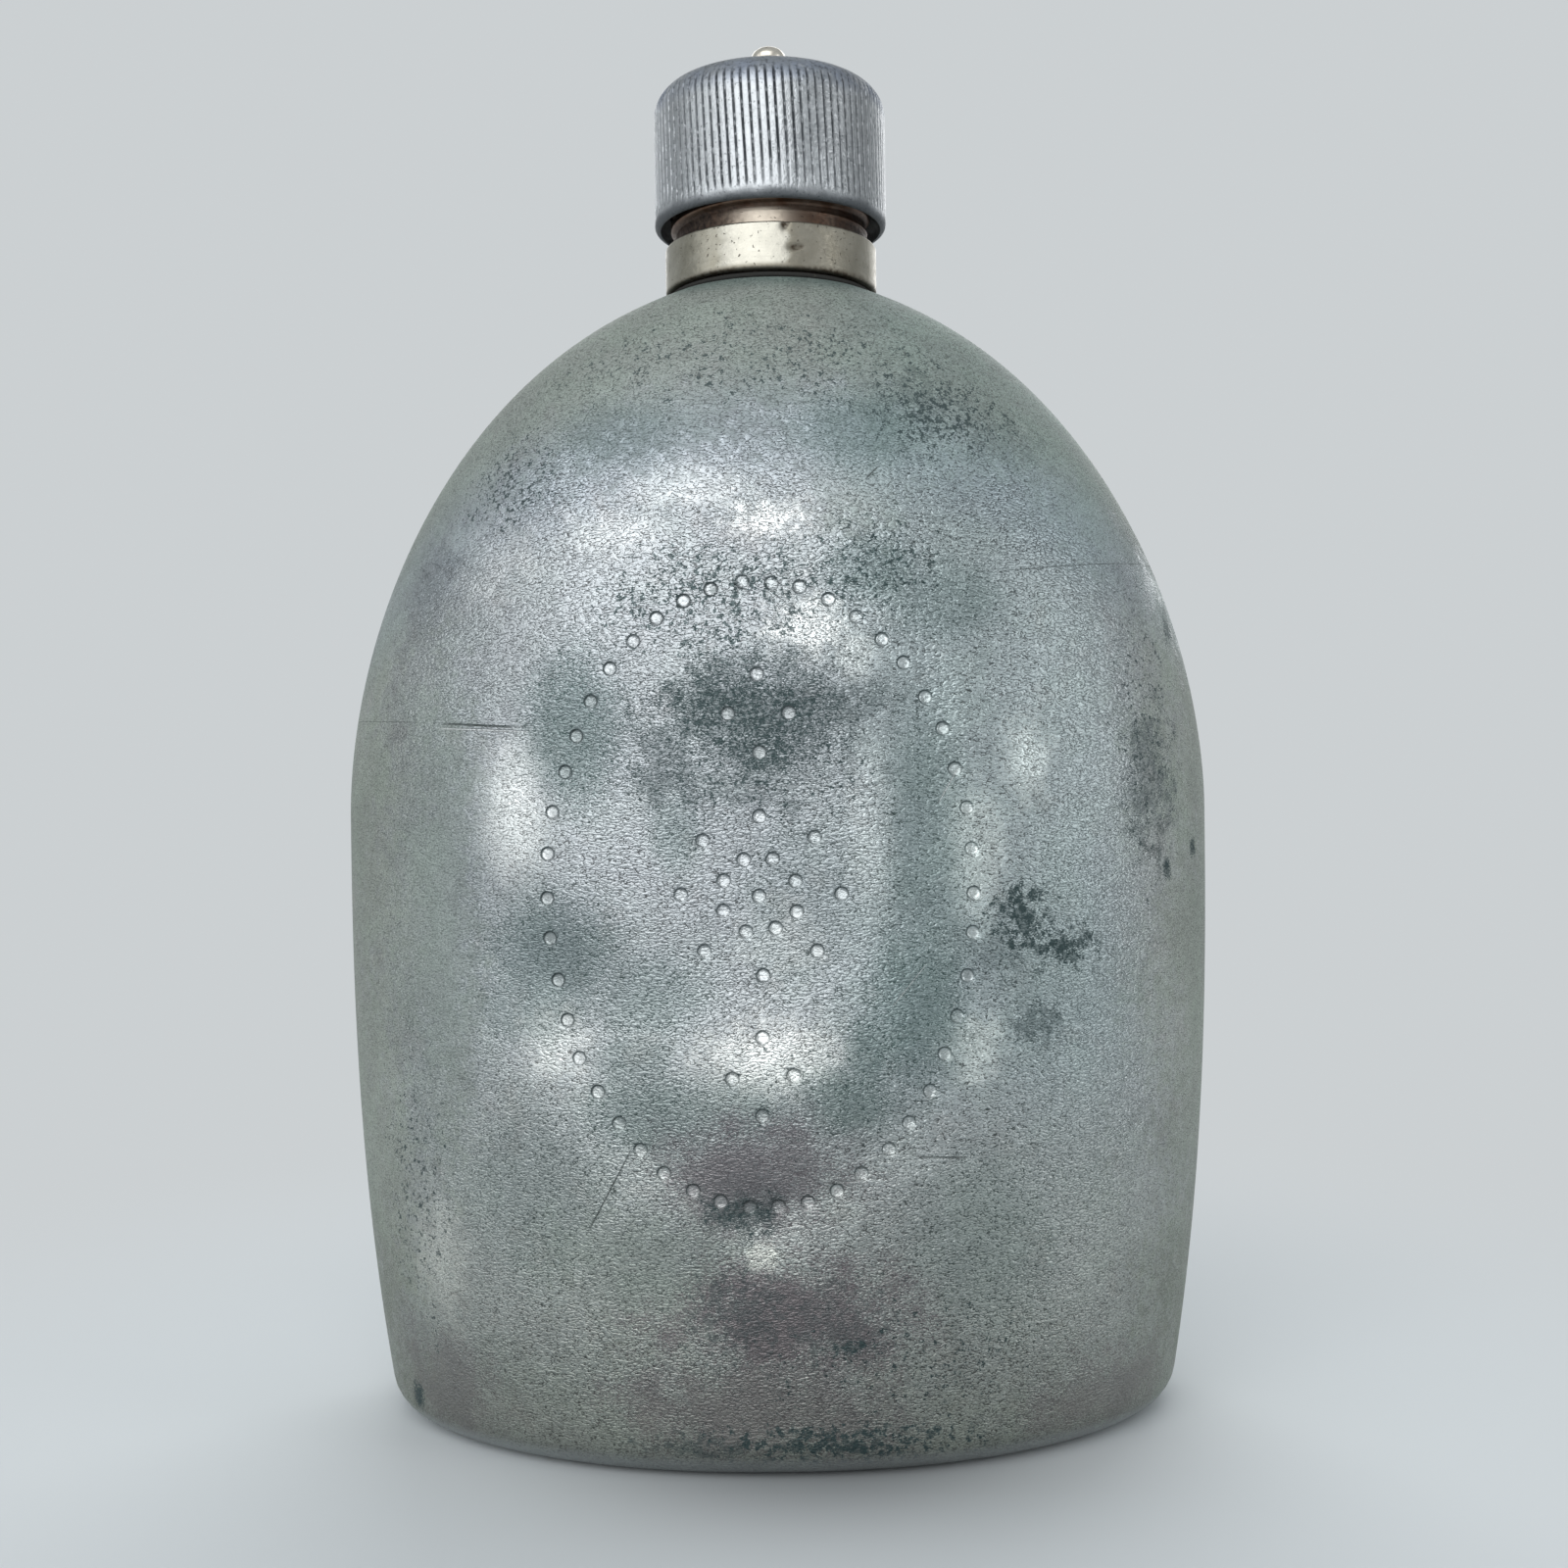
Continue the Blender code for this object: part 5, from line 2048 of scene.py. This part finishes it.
@dataclass
class Studio:
    """Pale floor and backdrop, soft lamps and the camera at the photograph's place."""

    paper: Colour = (0.60, 0.63, 0.645)
    floor: Colour = (0.74, 0.78, 0.80)
    shadow_place: Point = (0.007, -0.022, 0.0)
    shadow_reach: Point = (0.038, 0.025, 1.0)
    shadow_depth: float = 0.62
    aim: Point = (0.0, 0.0, 0.1)
    sky_colour: Colour = (0.93, 0.97, 1.0)
    sky: float = 0.40
    paper_reach: Span = (0.08, 0.26)
    camera_place: Point = (0.0011, -0.298, 0.1019)
    camera_roll: float = math.radians(0.7)
    lens: float = 42.0
    lamps: tuple[Lamp, ...] = (
        Lamp("high_key", (-0.27, -0.95, 0.616), (1.3, 1.1), 8.2),
        Lamp("left_fill", (-1.05, -0.45, 0.25), (0.35, 0.9), 1.5),
        Lamp("right_fill", (1.05, -0.5, 0.2), (0.3, 0.8), 2.1),
        Lamp("back_fill", (0.15, 0.95, 0.6), (1.2, 0.8), 6.0),
    )

    def build(self) -> None:
        """Puts up the stage, the lamps, the world and the camera."""
        self._build_stage()
        self._build_lamps()
        self._build_camera()
        bpy.context.scene.view_settings.view_transform = "Standard"

    def _build_stage(self) -> None:
        """The floor and backdrop: one sheet of paper, flat near the bottle and curving up behind."""
        run = np.linspace(-1.6, 1.2, 57)
        bend = np.radians(np.linspace(0.0, 90.0, 25)[1:])
        lift = np.linspace(0.0, 1.4, 15)[1:]
        y = np.concatenate([run, 1.2 + 0.6 * np.sin(bend), np.full(len(lift), 1.8)])
        z = np.concatenate([np.zeros(len(run)), 0.6 * (1.0 - np.cos(bend)), 0.6 + lift])
        x = np.linspace(-2.4, 2.4, 49)
        points = np.stack(np.broadcast_arrays(x[None, :], y[:, None], z[:, None] - 0.00002), axis=-1)
        ids = np.arange(points[..., 0].size).reshape(points.shape[:2])
        quads = np.stack([ids[:-1, :-1], ids[:-1, 1:], ids[1:, 1:], ids[1:, :-1]], axis=-1)
        mesh = bpy.data.meshes.new("paper_sweep")
        mesh.from_pydata(points.reshape(-1, 3).tolist(), [], quads.reshape(-1, 4).tolist())
        mesh.shade_smooth()
        floor = bpy.data.objects.new("paper_sweep", mesh)
        bpy.context.scene.collection.objects.link(floor)
        mesh.materials.append(self._paper())

    def _paper(self) -> Material:
        """Paper that takes shadows near the bottle and keeps one pale tone further away.

        In front of the base it is darker by a painted shadow, a soft spot: exp of minus the distance squared.

        Returns:
            The finished material.
        """
        sheet = FinishSheet("pale_paper", self.floor)
        offset = sheet.vector("SUBTRACT", sheet.place, self.shadow_place)
        offset = sheet.vector("DIVIDE", offset, self.shadow_reach)
        nearness = sheet.times(sheet.measure("DOT_PRODUCT", offset, offset), -1.0)
        sheet.dim(sheet.scaled(sheet.math("EXPONENT", nearness), -self.shadow_depth, 1.0))
        values = {"Base Color": sheet.colour, "Roughness": 0.9, "Specular IOR Level": 0.1}
        for name, value in values.items():
            sheet.feed(sheet.shader.inputs[name], value)
        glow = sheet.put("Emission", {"Color": (*self.paper, 1.0), "Strength": 1.0})
        path = sheet.put("LightPath").outputs
        seen = sheet.most(path["Is Camera Ray"], path["Is Glossy Ray"])
        far = sheet.ramp(sheet.measure("LENGTH", sheet.place), *self.paper_reach)
        shaders = {0: sheet.times(seen, far), 1: sheet.shader.outputs[0], 2: glow.outputs[0]}
        mix = sheet.put("MixShader", shaders)
        sheet.feed(sheet.tree.nodes["Material Output"].inputs["Surface"], mix.outputs[0])
        return sheet.material

    def _build_lamps(self) -> None:
        """The soft lamps, all turned to the bottle, and the grey sky around them."""
        for lamp in self.lamps:
            light = bpy.data.lights.new(lamp.name, "AREA")
            light.shape = "RECTANGLE"
            light.size, light.size_y = lamp.size
            light.energy = lamp.power
            holder = bpy.data.objects.new(lamp.name, light)
            bpy.context.scene.collection.objects.link(holder)
            holder.location = lamp.place
            holder.visible_camera = False
            aim = np.array(self.aim) - np.array(lamp.place)
            holder.rotation_euler = (
                math.acos(-aim[2] / np.linalg.norm(aim)),
                0.0,
                math.atan2(aim[1], aim[0]) - QUARTER,
            )
        world = bpy.data.worlds.new("studio_sky")
        world.use_nodes = True
        sheet = NodeSheet(world.node_tree)
        sky = world.node_tree.nodes["Background"]
        sky.inputs["Color"].default_value = (*self.sky_colour, 1.0)
        sky.inputs["Strength"].default_value = self.sky
        path = sheet.put("LightPath").outputs
        strength = sheet.scaled(path["Is Camera Ray"], 0.2, 0.8)
        paper = sheet.put("Background", {"Color": (*self.paper, 1.0), "Strength": strength})
        seen = sheet.most(path["Is Camera Ray"], path["Is Glossy Ray"])
        mix = sheet.put("MixShader", {0: seen, 1: sky.outputs[0], 2: paper.outputs[0]})
        sheet.feed(sheet.tree.nodes["World Output"].inputs["Surface"], mix.outputs[0])
        bpy.context.scene.world = world

    def _build_camera(self) -> None:
        """The camera: level, close in front, and rolled a little as in the photograph."""
        camera = bpy.data.cameras.new("camera")
        camera.lens = self.lens
        camera.clip_start = 0.01
        holder = bpy.data.objects.new("camera", camera)
        bpy.context.scene.collection.objects.link(holder)
        holder.location = self.camera_place
        holder.rotation_euler = (QUARTER, self.camera_roll, 0.0)
        bpy.context.scene.camera = holder


def clear_start_scene() -> None:
    """Removes the objects that Blender starts with."""
    for item in list(bpy.data.objects):
        bpy.data.objects.remove(item)


def main() -> None:
    """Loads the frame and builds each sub-assembly around it."""
    logging.basicConfig(level=logging.INFO, format="%(name)s %(message)s")
    clear_start_scene()
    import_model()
    effects = Effects()
    for assembly in (BottleBody(), NeckFittings(), ScrewCap(), SwivelStud()):
        assembly.build(effects)
        LOG.info("%s is built", type(assembly).__name__)
    Studio().build()
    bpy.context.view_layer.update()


if __name__ == "__main__":
    main()
